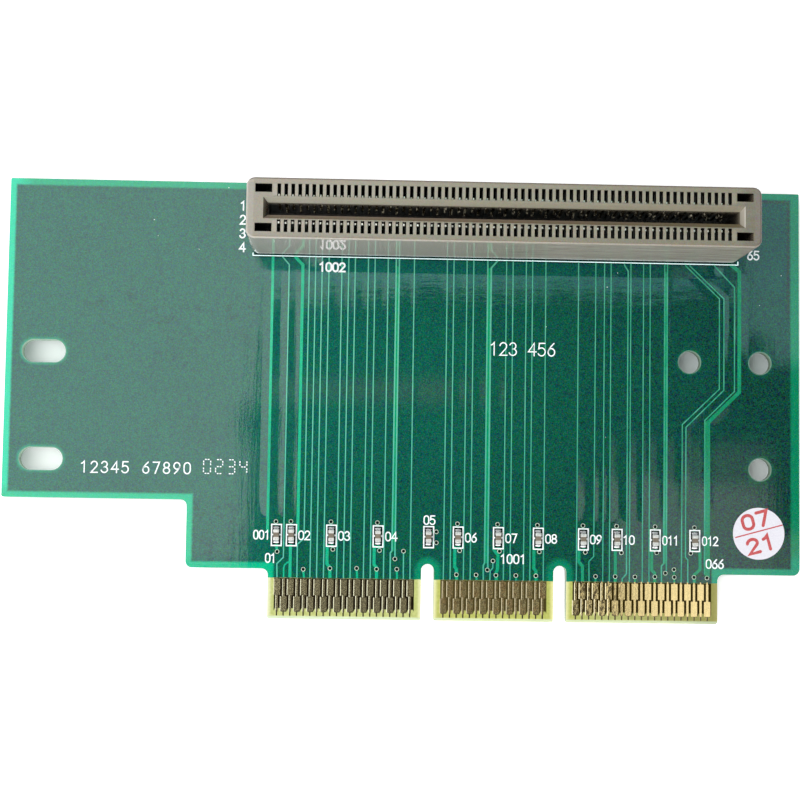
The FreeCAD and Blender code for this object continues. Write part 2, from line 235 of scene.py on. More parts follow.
def board_material():
    g = Graph("solder_mask_board")
    x, y, z = g.xyz()
    nx, ny, nz = g.normal()
    # copper planes stop short of the outline; light comes through the bare laminate beside them
    d = g.math("MAXIMUM", g.box(-40.78, 77.70, 15.02, 61.62), g.box(-13.05, 77.70, 4.92, 61.62))
    d = g.math("MAXIMUM", d, g.box(-0.72, 65.62, 2.2, 61.62))
    wobble = g.math("MULTIPLY", g.math("SUBTRACT", g.noise(1.6, 2.0, 0.5), 0.5), 0.16)
    glow = g.span(g.math("ADD", d, wobble), -0.20, 0.24, 1.0, 0.0)
    for cx in (22.5, 42.5):
        near = g.math("SUBTRACT", g.away(cx, cx, -6.0, 4.05), 0.98)
        glow = g.math("MAXIMUM", glow, g.span(near, 0.40, 1.45, 0.66, 0.0))
    for hx, hy in SLOT_HOLES:
        near = g.math("SUBTRACT", g.away(hx - 1.55, hx + 1.55, hy, hy), 1.70)
        glow = g.math("MAXIMUM", glow, g.span(near, 0.10, 0.62, 0.46, 0.0))
    lip = None
    for hx, hy in ROUND_HOLES:
        near = g.math("SUBTRACT", g.away(hx, hx, hy, hy), 1.70)
        glow = g.math("MAXIMUM", glow, g.span(near, 0.10, 0.70, 0.15, 0.0))
        lip = near if lip is None else g.math("MINIMUM", lip, near)
    for hx, hy in SLOT_HOLES:
        lip = g.math("MINIMUM", lip, g.math("SUBTRACT", g.away(hx - 1.55, hx + 1.55, hy, hy), 1.70))
    # mask colour over copper, darker towards the right: painted falloff of the light
    cloud = g.noise(0.10, 3.0, 0.55)
    dark = g.ramp(x, (0.0, (0.0024, 0.109, 0.0765)), (18.0, (0.0020, 0.096, 0.0660)), (38.0, (0.0018, 0.087, 0.0555)),
                  (48.0, (0.0018, 0.074, 0.0500)), (64.0, (0.0018, 0.062, 0.0450)), (70.0, (0.0016, 0.053, 0.0385)))
    dark = g.vmath("MULTIPLY", dark, g.mix(g.math("MULTIPLY", g.span(y, 26.0, 10.0), g.span(x, -3.0, 1.0)), (1.0, 1.0, 1.0), g.mix(g.span(x, 24.0, 14.0), (0.75, 0.89, 0.88), (0.50, 0.87, 0.77))))
    dark = g.mix(g.span(cloud, 0.40, 0.75, 0.0, 0.25), dark, (0.0010, 0.058, 0.050))
    smudge = g.math("MULTIPLY", g.span(g.noise(0.45, 3.0, 0.6), 0.53, 0.68), g.span(g.box(-32.0, -2.0, 38.5, 47.0), 0.0, 2.6, 0.0, 0.42))
    leaf = g.math("MULTIPLY", g.span(g.noise(0.85, 3.0, 0.65, None, 0.8), 0.48, 0.62), g.span(g.box(-15.0, -2.6, 2.0, 15.5), 0.0, 2.0, 0.0, 0.42))
    dark = g.mix(g.math("MAXIMUM", smudge, leaf), dark, (0.000, 0.046, 0.040))
    # greener and bluer in the band below the connector: a painted tint of the shade there
    dark = g.vmath("MULTIPLY", dark, g.mix(g.math("MULTIPLY", g.span(y, 46.5, 48.0), g.span(x, -4.5, -1.5)), (1.0, 1.0, 1.0), (1.0, 1.10, 1.24)))
    # a brown line where the plane stops, at the far right corner
    brown = g.math("MULTIPLY", g.math("MULTIPLY", g.span(d, 0.10, 0.25), g.span(d, 0.80, 0.40)), g.math("MULTIPLY", g.span(x, 69.5, 70.5), g.span(y, 41.0, 46.0, 0.0, 0.75)))
    dark = g.mix(brown, dark, (0.022, 0.024, 0.022))
    # colour of the bright border: painted light through the laminate, brighter to the left where the light is stronger,
    # and in two patches near the tab
    rim = g.ramp(x, (-40.9, (0.0, 0.530, 0.305)), (-38.0, (0.0, 0.330, 0.170)), (20.0, (0.0, 0.300, 0.150)), (66.0, (0.0, 0.235, 0.115)),
                 (78.0, (0.0, 0.200, 0.095)))
    rim = g.mix(g.math("MULTIPLY", g.span(y, 16.5, 14.5), g.span(x, 4.0, -2.0)), rim, (0.0, 0.420, 0.220))
    rim = g.mix(g.math("MULTIPLY", g.span(y, 8.0, 5.5), g.span(x, 60.0, 66.0)), rim, (0.0, 0.270, 0.150))
    mask = g.mix(glow, dark, rim)
    mask = g.grain(mask, 5.0, (0.100, 0.205, 0.190))
    # a pale ring round the holes: a painted highlight on their rim
    mask = g.mix(g.span(lip, 0.05, 0.14, 0.75, 0.0), mask, (0.20, 0.36, 0.28))
    # painted shadow on the mask under the connector's housing
    mask = g.mix(g.span(g.box(-4.6, 69.3, 51.47, 60.2), 0.0, 0.10, 0.0, 0.88), mask, (0.0, 0.010, 0.010))
    # a darker line just below the print line in front of the connector
    darkening = g.math("MULTIPLY", g.math("MULTIPLY", g.span(y, 51.06, 51.16), g.span(y, 51.38, 51.30)), g.span(g.box(-4.7, 69.7, 50.0, 53.0), 0.0, 0.05, 0.0, 0.55))
    mask = g.mix(darkening, mask, (0.0, 0.010, 0.010))
    # bare laminate below the mask edge; between the contacts it is painted shade, where the rear contacts keep light
    # from coming through
    glass = g.noise(1.0, 2.0, 0.5, g.stretch(2.2, 2.2, 4.0))
    bare = g.mix(g.span(glass, 0.3, 0.7), (0.40, 0.435, 0.124), (0.49, 0.525, 0.180))
    bare = g.mix(g.span(x, 40.0, 66.5), bare, g.mix(glass, (0.22, 0.212, 0.045), (0.31, 0.290, 0.070)))
    bare = g.vmath("MULTIPLY", bare, g.mix(g.math("MULTIPLY", g.span(x, 20.0, 24.0), g.span(x, 50.0, 43.0)), (1.0, 1.0, 1.0), (0.94, 0.91, 0.58)))
    step = g.math("MULTIPLY", g.math("COSINE", g.math("MULTIPLY", x, math.pi)), 2.2)
    foot = g.math("MULTIPLY_ADD", g.math("MAXIMUM", g.math("MINIMUM", step, 1.0), -1.0), 0.27, -2.14)
    gap = None
    for first, last in BLOCKS:
        b = g.box(first - 1 - 0.55, last - 1 + 0.50, -2.60, 2.66)
        gap = b if gap is None else g.math("MAXIMUM", gap, b)
    gap = g.math("MINIMUM", gap, g.math("SUBTRACT", y, foot))
    # the outline of the tab is scuffed pale
    out = g.box(-1.52, 66.45, -3.45, 9.0)
    for cx in (22.5, 42.5):
        out = g.math("MINIMUM", out, g.math("SUBTRACT", g.away(cx, cx, -6.0, 4.05), 0.98))
    scuff = g.math("MULTIPLY", g.span(out, 0.0, 0.70, 0.62, 0.0), g.span(x, 58.0, 65.5, 1.0, 0.15))
    bare = g.mix(scuff, bare, g.mix(g.span(x, 8.0, 34.0), (0.88, 0.90, 0.72), (0.90, 0.86, 0.46)))
    shut = g.span(gap, -0.05, 0.05)
    darkening = g.ramp(x, (21.0, (0.015, 0.010, 0.004)), (23.5, (0.095, 0.068, 0.020)), (41.5, (0.095, 0.068, 0.020)), (43.5, (0.040, 0.025, 0.003)))
    bare = g.mix(shut, bare, g.vmath("MULTIPLY", darkening, g.mix(glass, (0.6, 0.6, 0.6), (1.4, 1.4, 1.4))))
    edge = g.math("MULTIPLY_ADD", g.noise(2.0, 1.0, 0.5), 0.12, 2.62)
    tab = g.span(g.math("SUBTRACT", edge, y), -0.03, 0.03)
    face = g.mix(tab, mask, bare)
    # cut edges: pale glass under the mask, darker below
    layers = g.noise(1.0, 3.0, 0.6, g.stretch(0.5, 0.5, 9.0))
    cut = g.mix(g.span(layers, 0.3, 0.7), (0.30, 0.42, 0.28), (0.48, 0.60, 0.42))
    cut = g.mix(g.span(z, -0.55, -0.85, 0.0, 0.8), cut, (0.10, 0.115, 0.075))
    # walls of the holes: the slots' walls painted pale, a painted glow of light through the laminate; the round holes'
    # walls dark green
    cut = g.mix(g.span(lip, 0.6, 0.3, 0.0, 0.7), cut, g.mix(g.span(x, -24.0, -28.0), (0.085, 0.150, 0.105), (0.50, 0.68, 0.54)))
    side = g.math("SUBTRACT", 1.0, g.span(g.math("ABSOLUTE", nz), 0.55, 0.93))
    color = g.mix(side, face, cut)
    dull = g.math("MAXIMUM", tab, side)
    smear = g.noise(0.35, 4.0, 0.6)
    rough = g.math("MULTIPLY_ADD", dull, 0.42, g.span(smear, 0.25, 0.80, 0.020, 0.036))
    return g.set(color=color, metal=g.math("MULTIPLY", shut, tab), rough=rough, normal=mask_relief(g), ior=1.52)


def trace_material(name, left, right, pale):
    g = Graph(name)
    x, y, z = g.xyz()
    run = g.noise(1.0, 2.0, 0.5, g.stretch(0.9, 0.16, 1.0))
    # lighter at the left than at the right: painted falloff of the light
    color = g.mix(g.span(x, -4.0, 68.0), left, right)
    color = g.mix(g.span(run, 0.35, 0.70, 0.0, 0.40), color, pale)
    color = g.vmath("MULTIPLY", color, g.mix(g.span(y, 30.0, 18.0), (1.0, 1.0, 1.0), (0.68, 0.92, 0.97)))
    color = g.grain(color, 4.6, (0.08, 0.20, 0.17))
    # painted shadow under the connector's housing, on the front tracks only
    color = g.mix(g.math("MULTIPLY", g.span(y, 51.42, 51.55), g.span(z, -0.8, -0.4, 0.0, 0.90)), color, (0.0, 0.010, 0.010))
    peel = g.noise(3.0, 2.0, 0.6)
    return g.set(color=color, rough=g.span(peel, 0.2, 0.8, 0.09, 0.20), normal=mask_relief(g), ior=1.52)


def ink_material():
    g = Graph("screen_ink_white")
    n = g.noise(8.0, 3.0, 0.65)
    color = g.mix(g.span(n, 0.30, 0.74), (0.90, 0.93, 0.95), (0.74, 0.80, 0.80))
    # all the ink glows a little, painted light that keeps it white; the long line below the connector glows more,
    # painted light in place of the light it takes off the upright wall
    line = g.span(g.box(-6.0, 71.0, 51.25, 51.95), 0.0, 0.04)
    glow = g.vmath("MULTIPLY", color, g.mix(line, (1.0, 1.0, 1.0), (3.0, 4.8, 4.7)))
    return g.set(color=color, rough=g.span(n, 0.2, 0.8, 0.40, 0.60), normal=g.relief((n, 0.004)), ior=1.48, glow=glow, glow_s=0.12)


def housing_material():
    g = Graph("moulded_resin_tan")
    x, y, z = g.xyz()
    nx, ny, nz = g.normal()
    speck = g.noise(7.0, 2.0, 0.6)
    cloud = g.noise(0.50, 3.0, 0.6)
    flow = g.noise(1.0, 2.0, 0.5, g.stretch(0.10, 1.3, 1.3))
    # darker towards the right: painted falloff of the light
    base = g.ramp(x, (-2.0, (0.254, 0.229, 0.181)), (32.0, (0.219, 0.192, 0.140)), (66.0, (0.188, 0.157, 0.109)))
    base = g.mix(g.span(cloud, 0.35, 0.70, 0.0, 0.22), base, (0.270, 0.230, 0.170))
    base = g.mix(g.span(speck, 0.50, 0.78, 0.0, 0.35), base, (0.140, 0.118, 0.084))
    base = g.mix(g.span(flow, 0.45, 0.75, 0.0, 0.20), base, (0.275, 0.248, 0.198))
    v = g.math("ABSOLUTE", g.math("SUBTRACT", y, CON_CY))
    u = g.math("ABSOLUTE", g.math("SUBTRACT", x, CON_CX))
    # ribs between the cavities are rubbed paler
    rib = g.math("MULTIPLY", g.math("MULTIPLY", g.span(v, 1.72, 1.95), g.span(v, 3.60, 3.35)), g.span(u, 33.6, 33.2, 0.0, 0.55))
    base = g.mix(rib, base, g.vmath("MULTIPLY", base, (1.45, 1.45, 1.50)))
    # the rounded ends are painted: the left end band paler (painted light), the right end band darker with a dark line
    # at its edge (painted shade); the rims facing left and front are painted light, those facing right and back painted
    # shade
    base = g.mix(g.span(x, -3.80, -3.95, 0.0, 0.45), base, (0.345, 0.325, 0.285))
    base = g.mix(g.span(x, 66.3, 67.4), base, g.vmath("MULTIPLY", base, (0.86, 0.82, 0.84)))
    base = g.mix(g.span(x, 68.35, 68.50, 0.0, 0.75), base, (0.190, 0.143, 0.121))
    outer = g.math("MAXIMUM", g.span(v, 3.7, 3.9), g.span(u, 36.4, 36.6))
    rim = g.math("MULTIPLY", g.math("MULTIPLY", g.span(nz, 0.985, 0.75), g.span(z, 14.55, 14.75)), outer)
    turn = g.span(g.math("ADD", nx, ny), -0.25, 0.25)
    painted_rim_light = g.ramp(x, (-2.0, (0.430, 0.408, 0.365)), (32.0, (0.330, 0.305, 0.258)), (66.0, (0.270, 0.245, 0.200)))
    base = g.mix(g.math("MULTIPLY", rim, 0.80), base, g.mix(turn, painted_rim_light, (0.085, 0.070, 0.060)))
    base = g.mix(g.span(y, CON_CY + 3.55, CON_CY + 3.75), base, g.vmath("MULTIPLY", base, (1.13, 1.09, 1.08)))
    # lead-in of the card slot, painted by how it faces the light: the front-facing flank paler and the right end pale
    # with a painted highlight along its top edge (painted light); the rear-facing flank and the left end brown and dark
    # (painted shade)
    core = g.math("MULTIPLY", g.math("MULTIPLY", g.span(v, 1.66, 1.60), g.span(u, 34.9, 34.8)), g.span(nz, 0.95, 0.80))
    flank = g.math("MULTIPLY", core, g.span(z, 13.6, 14.1))
    base = g.mix(g.math("MULTIPLY", flank, g.span(ny, -0.3, -0.5)), base, g.vmath("MULTIPLY", base, (1.28, 1.38, 1.42)))
    inner = g.ramp(x, (0.0, (0.275, 0.222, 0.165)), (32.0, (0.258, 0.198, 0.142)), (52.0, (0.240, 0.195, 0.130)), (64.0, (0.205, 0.170, 0.096)))
    brow = g.ramp(x, (0.0, (0.222, 0.175, 0.120)), (32.0, (0.215, 0.160, 0.104)), (64.0, (0.170, 0.140, 0.078)))
    base = g.mix(g.math("MULTIPLY", flank, g.span(ny, 0.3, 0.5)), base, g.mix(g.span(z, 14.2, 14.95), inner, brow))
    base = g.mix(g.math("MULTIPLY", flank, g.span(nx, 0.3, 0.5)), base, g.mix(g.span(z, 14.2, 15.1), (0.030, 0.026, 0.018), (0.120, 0.105, 0.075)))
    base = g.mix(g.math("MULTIPLY", flank, g.span(nx, -0.3, -0.5)), base, g.ramp(z, (14.15, (0.190, 0.165, 0.125)), (14.40, (0.300, 0.276, 0.225)), (14.90, (0.345, 0.320, 0.268)), (14.99, (0.520, 0.495, 0.435))))
    base = g.grain(base, 5.0, (0.125, 0.120, 0.115))
    # upright outer faces are smoother and take the low light; their colour is painted light too: paler than the top,
    # darker towards the right, paler again near the foot, with painted glints just above it; long drag marks towards
    # the right
    wall = g.math("MULTIPLY", g.span(g.math("ABSOLUTE", nz), 0.25, 0.05), g.span(v, 4.0, 4.3))
    drag = g.noise(1.0, 3.0, 0.65, g.stretch(0.16, 0.5, 2.6))
    wear_and_glint = g.span(x, 22.0, 44.0)
    upright = g.ramp(x, (-2.0, (0.460, 0.400, 0.375)), (32.0, (0.420, 0.355, 0.310)), (66.0, (0.302, 0.262, 0.221)))
    upright = g.mix(g.math("MULTIPLY", g.span(drag, 0.50, 0.72), wear_and_glint), upright, (0.50, 0.46, 0.41))
    upright = g.mix(g.math("MULTIPLY", g.span(drag, 0.48, 0.30), wear_and_glint), upright, (0.22, 0.18, 0.15))
    upright = g.mix(g.span(z, 3.2, 1.4, 0.0, 0.5), upright, (0.66, 0.64, 0.60))
    glint = g.span(g.noise(1.0, 3.0, 0.65, g.stretch(1.3, 1.0, 0.6)), 0.36, 0.64, 0.15, 0.72)
    glint = g.math("MULTIPLY", g.math("MULTIPLY", glint, g.span(z, 2.0, 0.9)), g.math("MAXIMUM", g.span(x, 24.0, 44.0, 1.55, 0.85), g.span(x, 56.0, 64.0, 0.85, 1.45)))
    upright = g.mix(glint, upright, (0.86, 0.92, 0.96))
    base = g.mix(wall, base, g.grain(upright, 4.0, (0.16, 0.155, 0.15)))
    # little light reaches down into the slot, none into the contact cavities and the pockets
    mid = g.math("MULTIPLY", g.span(v, 3.75, 3.60), g.span(u, 36.5, 36.2))
    fleck = g.span(g.noise(3.4, 2.0, 0.6), 0.56, 0.70, 0.0, 0.5)
    pit = g.mix(g.span(v, 1.62, 1.68), g.mix(fleck, g.ramp(x, (0.0, (0.125, 0.110, 0.106)), (8.0, (0.080, 0.070, 0.066)), (16.0, (0.050, 0.045, 0.044)), (30.0, (0.025, 0.020, 0.017)), (62.0, (0.010, 0.009, 0.007))), (0.16, 0.13, 0.08)), (0.006, 0.005, 0.005))
    deep = g.mix(g.span(v, 1.62, 1.68), g.span(z, 14.30, 11.20), g.span(z, 15.08, 14.94))
    # the slot's right end wall: painted shade deep down, lighter towards the top, with a painted highlight along its
    # top edge
    stop = g.math("MULTIPLY", g.span(nx, -0.3, -0.6), g.span(x, 65.5, 66.0))
    base = g.mix(g.math("MULTIPLY", stop, g.span(v, 1.66, 1.60)), base, g.ramp(z, (9.0, (0.012, 0.010, 0.007)), (12.0, (0.075, 0.062, 0.042)), (14.10, (0.220, 0.195, 0.145)), (14.22, (0.300, 0.276, 0.225)), (14.90, (0.345, 0.320, 0.268)), (14.99, (0.520, 0.495, 0.435))))
    deep = g.math("MULTIPLY", deep, g.math("MULTIPLY_ADD", stop, -0.95, 1.0))
    base = g.mix(g.math("MULTIPLY", mid, g.math("MULTIPLY", deep, 0.97)), base, pit)
    shine = g.mix(g.span(x, 31.5, 42.0), (0.030, 0.030, 0.030), (0.26, 0.26, 0.26))
    rough = g.mix(wall, g.span(speck, 0.2, 0.8, 0.16, 0.26), shine)
    keep = g.math("SUBTRACT", 1.0, g.math("MULTIPLY", wall, 0.9))
    n = g.relief((g.math("MULTIPLY", speck, keep), 0.0030), (g.math("MULTIPLY", flow, keep), 0.0040))
    return g.set(color=base, rough=rough, normal=n, ior=1.56)


def metal(name, c1, c2, r0, r1, relief_mm=0.003, scale=3.0, streak=None, metal=1.0):
    g = Graph(name)
    n = g.noise(scale, 3.0, 0.6, g.stretch(*streak) if streak else None)
    color = g.mix(g.span(n, 0.3, 0.7), c1, c2)
    return g.set(color=color, metal=metal, rough=g.span(n, 0.25, 0.75, r0, r1), normal=g.relief((n, relief_mm)))


def contact_material():
    g = Graph("spring_contact")
    x, y, z = g.xyz()
    n = g.noise(4.0, 3.0, 0.6)
    col = g.math("ABSOLUTE", g.math("SUBTRACT", g.math("FRACT", g.math("ADD", x, 0.56 - COL_X0 + 10.0)), 0.5))
    far = g.span(y, CON_CY - 0.5, CON_CY + 0.5)
    # painted highlights: a pale dot at each contact's tip and pale specks on the contacts inside the slot (painted
    # glints), both less metallic and glowing a little as painted light; the lower tails are pale tin
    dot = g.math("MULTIPLY", g.span(z, 13.90, 14.02), g.span(g.math("MULTIPLY_ADD", far, 0.045, col), 0.135, 0.095))
    tail = g.span(z, 1.2, 0.4)
    wear_and_glint = g.math("MULTIPLY", g.span(g.noise(2.6, 2.0, 0.6), 0.52, 0.62), g.span(g.math("ABSOLUTE", g.math("SUBTRACT", y, CON_CY)), 1.7, 1.4))
    shade = g.mix(g.span(n, 0.3, 0.7), (0.150, 0.110, 0.055), (0.060, 0.045, 0.024))
    color = g.mix(wear_and_glint, shade, (0.90, 0.84, 0.66))
    color = g.mix(g.math("MAXIMUM", dot, tail), color, g.mix(g.span(n, 0.35, 0.65), (0.95, 0.93, 0.86), (0.80, 0.76, 0.66)))
    bare = g.math("MULTIPLY", g.math("MAXIMUM", dot, g.math("MAXIMUM", tail, wear_and_glint)), 0.75)
    lit = g.mix(g.span(n, 0.40, 0.62), (0.62, 0.60, 0.54), (0.16, 0.15, 0.13))
    lit = g.vmath("MULTIPLY", lit, g.mix(far, g.ramp(x, (8.0, (0.8, 0.8, 0.8)), (16.0, (1.0, 1.0, 1.0)), (44.0, (0.42, 0.42, 0.42))), (0.30, 0.30, 0.30)))
    shine = g.mix(dot, (0.0, 0.0, 0.0), lit)
    shine = g.mix(g.math("MULTIPLY", wear_and_glint, g.span(z, 6.5, 9.0)), shine, g.ramp(x, (16.0, (0.056, 0.047, 0.029)), (26.0, (0.026, 0.022, 0.014)), (36.0, (0.012, 0.010, 0.006)), (58.0, (0.016, 0.014, 0.009))))
    return g.set(color=color, metal=g.math("SUBTRACT", 1.0, bare), rough=g.span(n, 0.25, 0.75, 0.24, 0.40), normal=g.relief((n, 0.006)),
                 glow=shine, glow_s=1.0)


def gold_material():
    g = Graph("edge_contact_gold")
    x, y, z = g.xyz()
    nx, ny, nz = g.normal()
    n = g.noise(1.7, 3.0, 0.6)
    wipe = g.noise(1.0, 3.0, 0.65, g.stretch(4.2, 0.40, 1.0))
    pit = g.noise(4.6, 2.0, 0.6)
    dull = g.span(x, 44.0, 54.0, 1.0, 0.12)
    color = g.ramp(x, (16.0, (0.62, 0.55, 0.295)), (26.0, (0.76, 0.61, 0.250)), (40.0, (0.76, 0.62, 0.265)), (56.0, (0.77, 0.61, 0.280)))
    color = g.mix(g.span(n, 0.3, 0.7, 0.0, 0.5), color, g.vmath("MULTIPLY", color, (0.80, 0.80, 0.84)))
    color = g.mix(g.math("MULTIPLY", g.span(wipe, 0.50, 0.78, 0.0, 0.6), dull), color, (0.44, 0.37, 0.19))
    color = g.mix(g.math("MULTIPLY", g.span(pit, 0.48, 0.64, 0.0, 0.85), dull), color, (0.19, 0.160, 0.085))
    color = g.mix(g.math("MULTIPLY", g.span(pit, 0.46, 0.32, 0.0, 0.60), dull), color, (0.92, 0.86, 0.55))
    wear_and_glint = g.noise(1.0, 2.0, 0.6, g.stretch(2.6, 1.0, 1.0))
    red = g.math("MULTIPLY", g.span(g.noise(0.9, 2.0, 0.6), 0.46, 0.60, 0.0, 0.55), g.span(g.math("ABSOLUTE", g.math("SUBTRACT", x, 33.0)), 9.5, 8.0))
    color = g.mix(red, color, g.vmath("MULTIPLY", color, (1.0, 0.78, 0.66)))
    # dark and bright patches around x 47.6: partly wear, partly painted reflection
    part = g.span(g.math("ABSOLUTE", g.math("SUBTRACT", x, 47.6)), 5.5, 2.0)
    color = g.mix(g.math("MULTIPLY", g.span(wear_and_glint, 0.50, 0.58, 0.0, 0.85), part), color, (0.085, 0.058, 0.026))
    color = g.mix(g.math("MULTIPLY", g.span(wear_and_glint, 0.48, 0.40, 0.0, 0.85), part), color, (0.84, 0.66, 0.30))
    color = g.mix(g.span(y, -2.30, -2.42), color, (0.10, 0.085, 0.045))
    # the left-facing shoulders are painted pale: a painted highlight
    color = g.mix(g.span(nx, -0.10, -0.25), color, g.ramp(x, (20.0, (0.51, 0.50, 0.36)), (23.5, (0.37, 0.325, 0.215)), (41.0, (0.37, 0.325, 0.215)), (45.0, (0.58, 0.53, 0.36)), (53.0, (0.64, 0.54, 0.28))))
    zone = g.span(g.math("ABSOLUTE", g.math("SUBTRACT", x, 49.0)), 7.0, 3.0)
    return g.set(color=color, metal=g.span(x, 40.0, 56.0, 0.82, 0.90), rough=g.span(wipe, 0.25, 0.8, 0.10, 0.18),
                 normal=g.relief((wipe, 0.0018), (n, 0.0040), (pit, 0.0012), (g.math("MULTIPLY", pit, zone), 0.0070)))


def ceramic_material():
    g = Graph("chip_ceramic")
    n = g.noise(8.0, 3.0, 0.6)
    color = g.mix(g.span(n, 0.3, 0.7), (0.130, 0.104, 0.072), (0.205, 0.168, 0.118))
    wrap = g.span(g.math("ABSOLUTE", g.math("SUBTRACT", g.xyz()[1], CAP_Y)), 0.32, 0.36)
    color = g.mix(wrap, color, g.mix(g.span(n, 0.3, 0.7), (0.80, 0.79, 0.76), (0.60, 0.59, 0.56)))
    return g.set(color=color, rough=g.span(n, 0.2, 0.8, 0.30, 0.48), normal=g.relief((n, 0.006)), ior=1.6)


def paper_material():
    g = Graph("label_paper")
    n = g.noise(7.0, 4.0, 0.65)
    color = g.mix(g.span(n, 0.3, 0.7), (0.775, 0.765, 0.820), (0.690, 0.680, 0.745))
    return g.set(color=color, rough=g.span(n, 0.2, 0.8, 0.50, 0.68), normal=g.relief((n, 0.010)), ior=1.45)


def red_ink_material():
    g = Graph("label_ink_red")
    n = g.noise(5.0, 4.0, 0.7)
    color = g.mix(g.span(n, 0.28, 0.75), (0.450, 0.035, 0.042), (0.600, 0.130, 0.130))
    return g.set(color=color, rough=g.span(n, 0.2, 0.8, 0.45, 0.62), normal=g.relief((n, 0.004)), ior=1.45)


def plug_material():
    g = Graph("via_fill")
    n = g.noise(9.0, 2.0, 0.6)
    color = g.mix(g.span(n, 0.3, 0.7), (0.004, 0.008, 0.006), (0.010, 0.016, 0.012))
    return g.set(color=color, metal=0.9, rough=g.span(n, 0.2, 0.8, 0.6, 0.8), normal=g.relief((n, 0.004)), ior=1.45)


M_BOARD = board_material()
# the thin tracks are painted paler than the wide ones: a painted highlight off the rounded copper
M_TRACE = trace_material("solder_mask_over_track", (0.125, 0.520, 0.365), (0.018, 0.285, 0.160), (0.140, 0.500, 0.355))
M_POUR = trace_material("solder_mask_over_pour", (0.012, 0.460, 0.240), (0.000, 0.225, 0.098), (0.010, 0.330, 0.175))
M_FILL = trace_material("solder_mask_over_joined_pair", (0.000, 0.300, 0.125), (0.000, 0.240, 0.100), (0.000, 0.340, 0.150))
M_INK = ink_material()
M_HOUSING = housing_material()
M_GOLD = gold_material()
M_CONTACT = contact_material()
M_SOLDER = metal("bright_solder", (0.88, 0.88, 0.90), (0.55, 0.55, 0.57), 0.16, 0.34, 0.030, 3.0, None, 0.70)
M_TIN = metal("tin_plating", (0.84, 0.83, 0.80), (0.58, 0.57, 0.54), 0.26, 0.42, 0.010, 3.6, None, 0.55)
# the solder lands are painted near black: a painted dark reflection
M_LAND = metal("solder_land", (0.050, 0.056, 0.052), (0.016, 0.020, 0.018), 0.10, 0.18, 0.0020, 3.0)
M_RING = metal("via_plating", (0.78, 0.86, 0.73), (0.46, 0.58, 0.46), 0.30, 0.45, 0.004, 5.0, None, 0.10)
M_CERAMIC = ceramic_material()
M_PAPER = paper_material()
M_RED = red_ink_material()
M_PLUG = plug_material()


def finish(node, mat):
    o = NODES[node]
    o.data.materials.clear()
    o.data.materials.append(mat)


finish("pcb", M_BOARD)
for block in ("base", "wall_a", "wall_b", "end_left", "end_right"):
    finish("connector_" + block, M_HOUSING)
for row in "ab":
    for level in ("upper", "lower"):
        finish("contacts_row_%s_%s" % (row, level), M_CONTACT)
    for place in ("outer", "inner"):
        finish("solder_joints_row_%s_%s" % (row, place), M_SOLDER)
finish("edge_contacts_rear", M_GOLD)
finish("inspection_sticker", M_PAPER)
for i in range(1, 13):
    finish("capacitor_%02d_body" % i, M_CERAMIC)
    finish("capacitor_%02d_ends" % i, M_TIN)


# ---------------------------------------------------------------------------
# Mesh helpers
# ---------------------------------------------------------------------------
def piece(name, bm, mat, smooth=False):
    bmesh.ops.recalc_face_normals(bm, faces=bm.faces[:])
    me = bpy.data.meshes.new(name)
    bm.to_mesh(me)
    bm.free()
    me.materials.append(mat)
    if smooth:
        me.polygons.foreach_set("use_smooth", [True] * len(me.polygons))
    o = bpy.data.objects.new(name, me)
    bpy.context.scene.collection.objects.link(o)
    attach(o, "root")
    return o


def ribbon(bm, pts, width, z0, z1, closed=False, round_ends=False, taper=0.02):
    """Flat raised line along plan points, with mitred corners and sloped shoulders."""
    pts = [Vector((p[0], p[1])) for p in pts]
    clean = [pts[0]]
    for p in pts[1:]:
        if (p - clean[-1]).length > 1e-4:
            clean.append(p)
    pts = clean
    if closed and (pts[0] - pts[-1]).length < 1e-4:
        pts.pop()
    n, h = len(pts), width / 2
    stations = []
    for i in range(n):
        a = pts[i] - pts[i - 1] if (i > 0 or closed) else None
        b = pts[(i + 1) % n] - pts[i] if (i < n - 1 or closed) else None
        a = a.normalized() if a is not None else b.normalized()
        b = b.normalized() if b is not None else a
        na, nb = Vector((-a.y, a.x)), Vector((-b.y, b.x))
        m = na + nb
        m = m.normalized() if m.length > 1e-6 else na
        k = 1.0 / max(0.45, m.dot(na))
        stations.append((pts[i], m, k, h))
    if round_ends and not closed:
        d0 = (pts[0] - pts[1]).normalized()
        d1 = (pts[-1] - pts[-2]).normalized()
        head, tail = [], []
        for t in (22, 45, 65, 82):
            s, c = math.sin(math.radians(t)) * h, max(0.06, math.cos(math.radians(t))) * h
            head.append((pts[0] + d0 * s, stations[0][1], 1.0, c))
            tail.append((pts[-1] + d1 * s, stations[-1][1], 1.0, c))
        stations = head[::-1] + stations + tail
    rows = []
    s = 1 if z1 > z0 else -1
    for p, m, k, hw in stations:
        cut = min(taper, hw * 0.45)
        o, q = m * (hw * k), m * ((hw - cut) * k)
        rows.append([bm.verts.new(at(p.x + o.x, p.y + o.y, z0)), bm.verts.new(at(p.x + q.x, p.y + q.y, z1)),
                     bm.verts.new(at(p.x - q.x, p.y - q.y, z1)), bm.verts.new(at(p.x - o.x, p.y - o.y, z0))])
    last = len(rows) if closed else len(rows) - 1
    for i in range(last):
        r, t = rows[i], rows[(i + 1) % len(rows)]
        for j in range(4):
            f = (r[j], r[(j + 1) % 4], t[(j + 1) % 4], t[j])
            bm.faces.new(f if s > 0 else f[::-1])
    if not closed:
        bm.faces.new(rows[0])
        bm.faces.new(rows[-1])


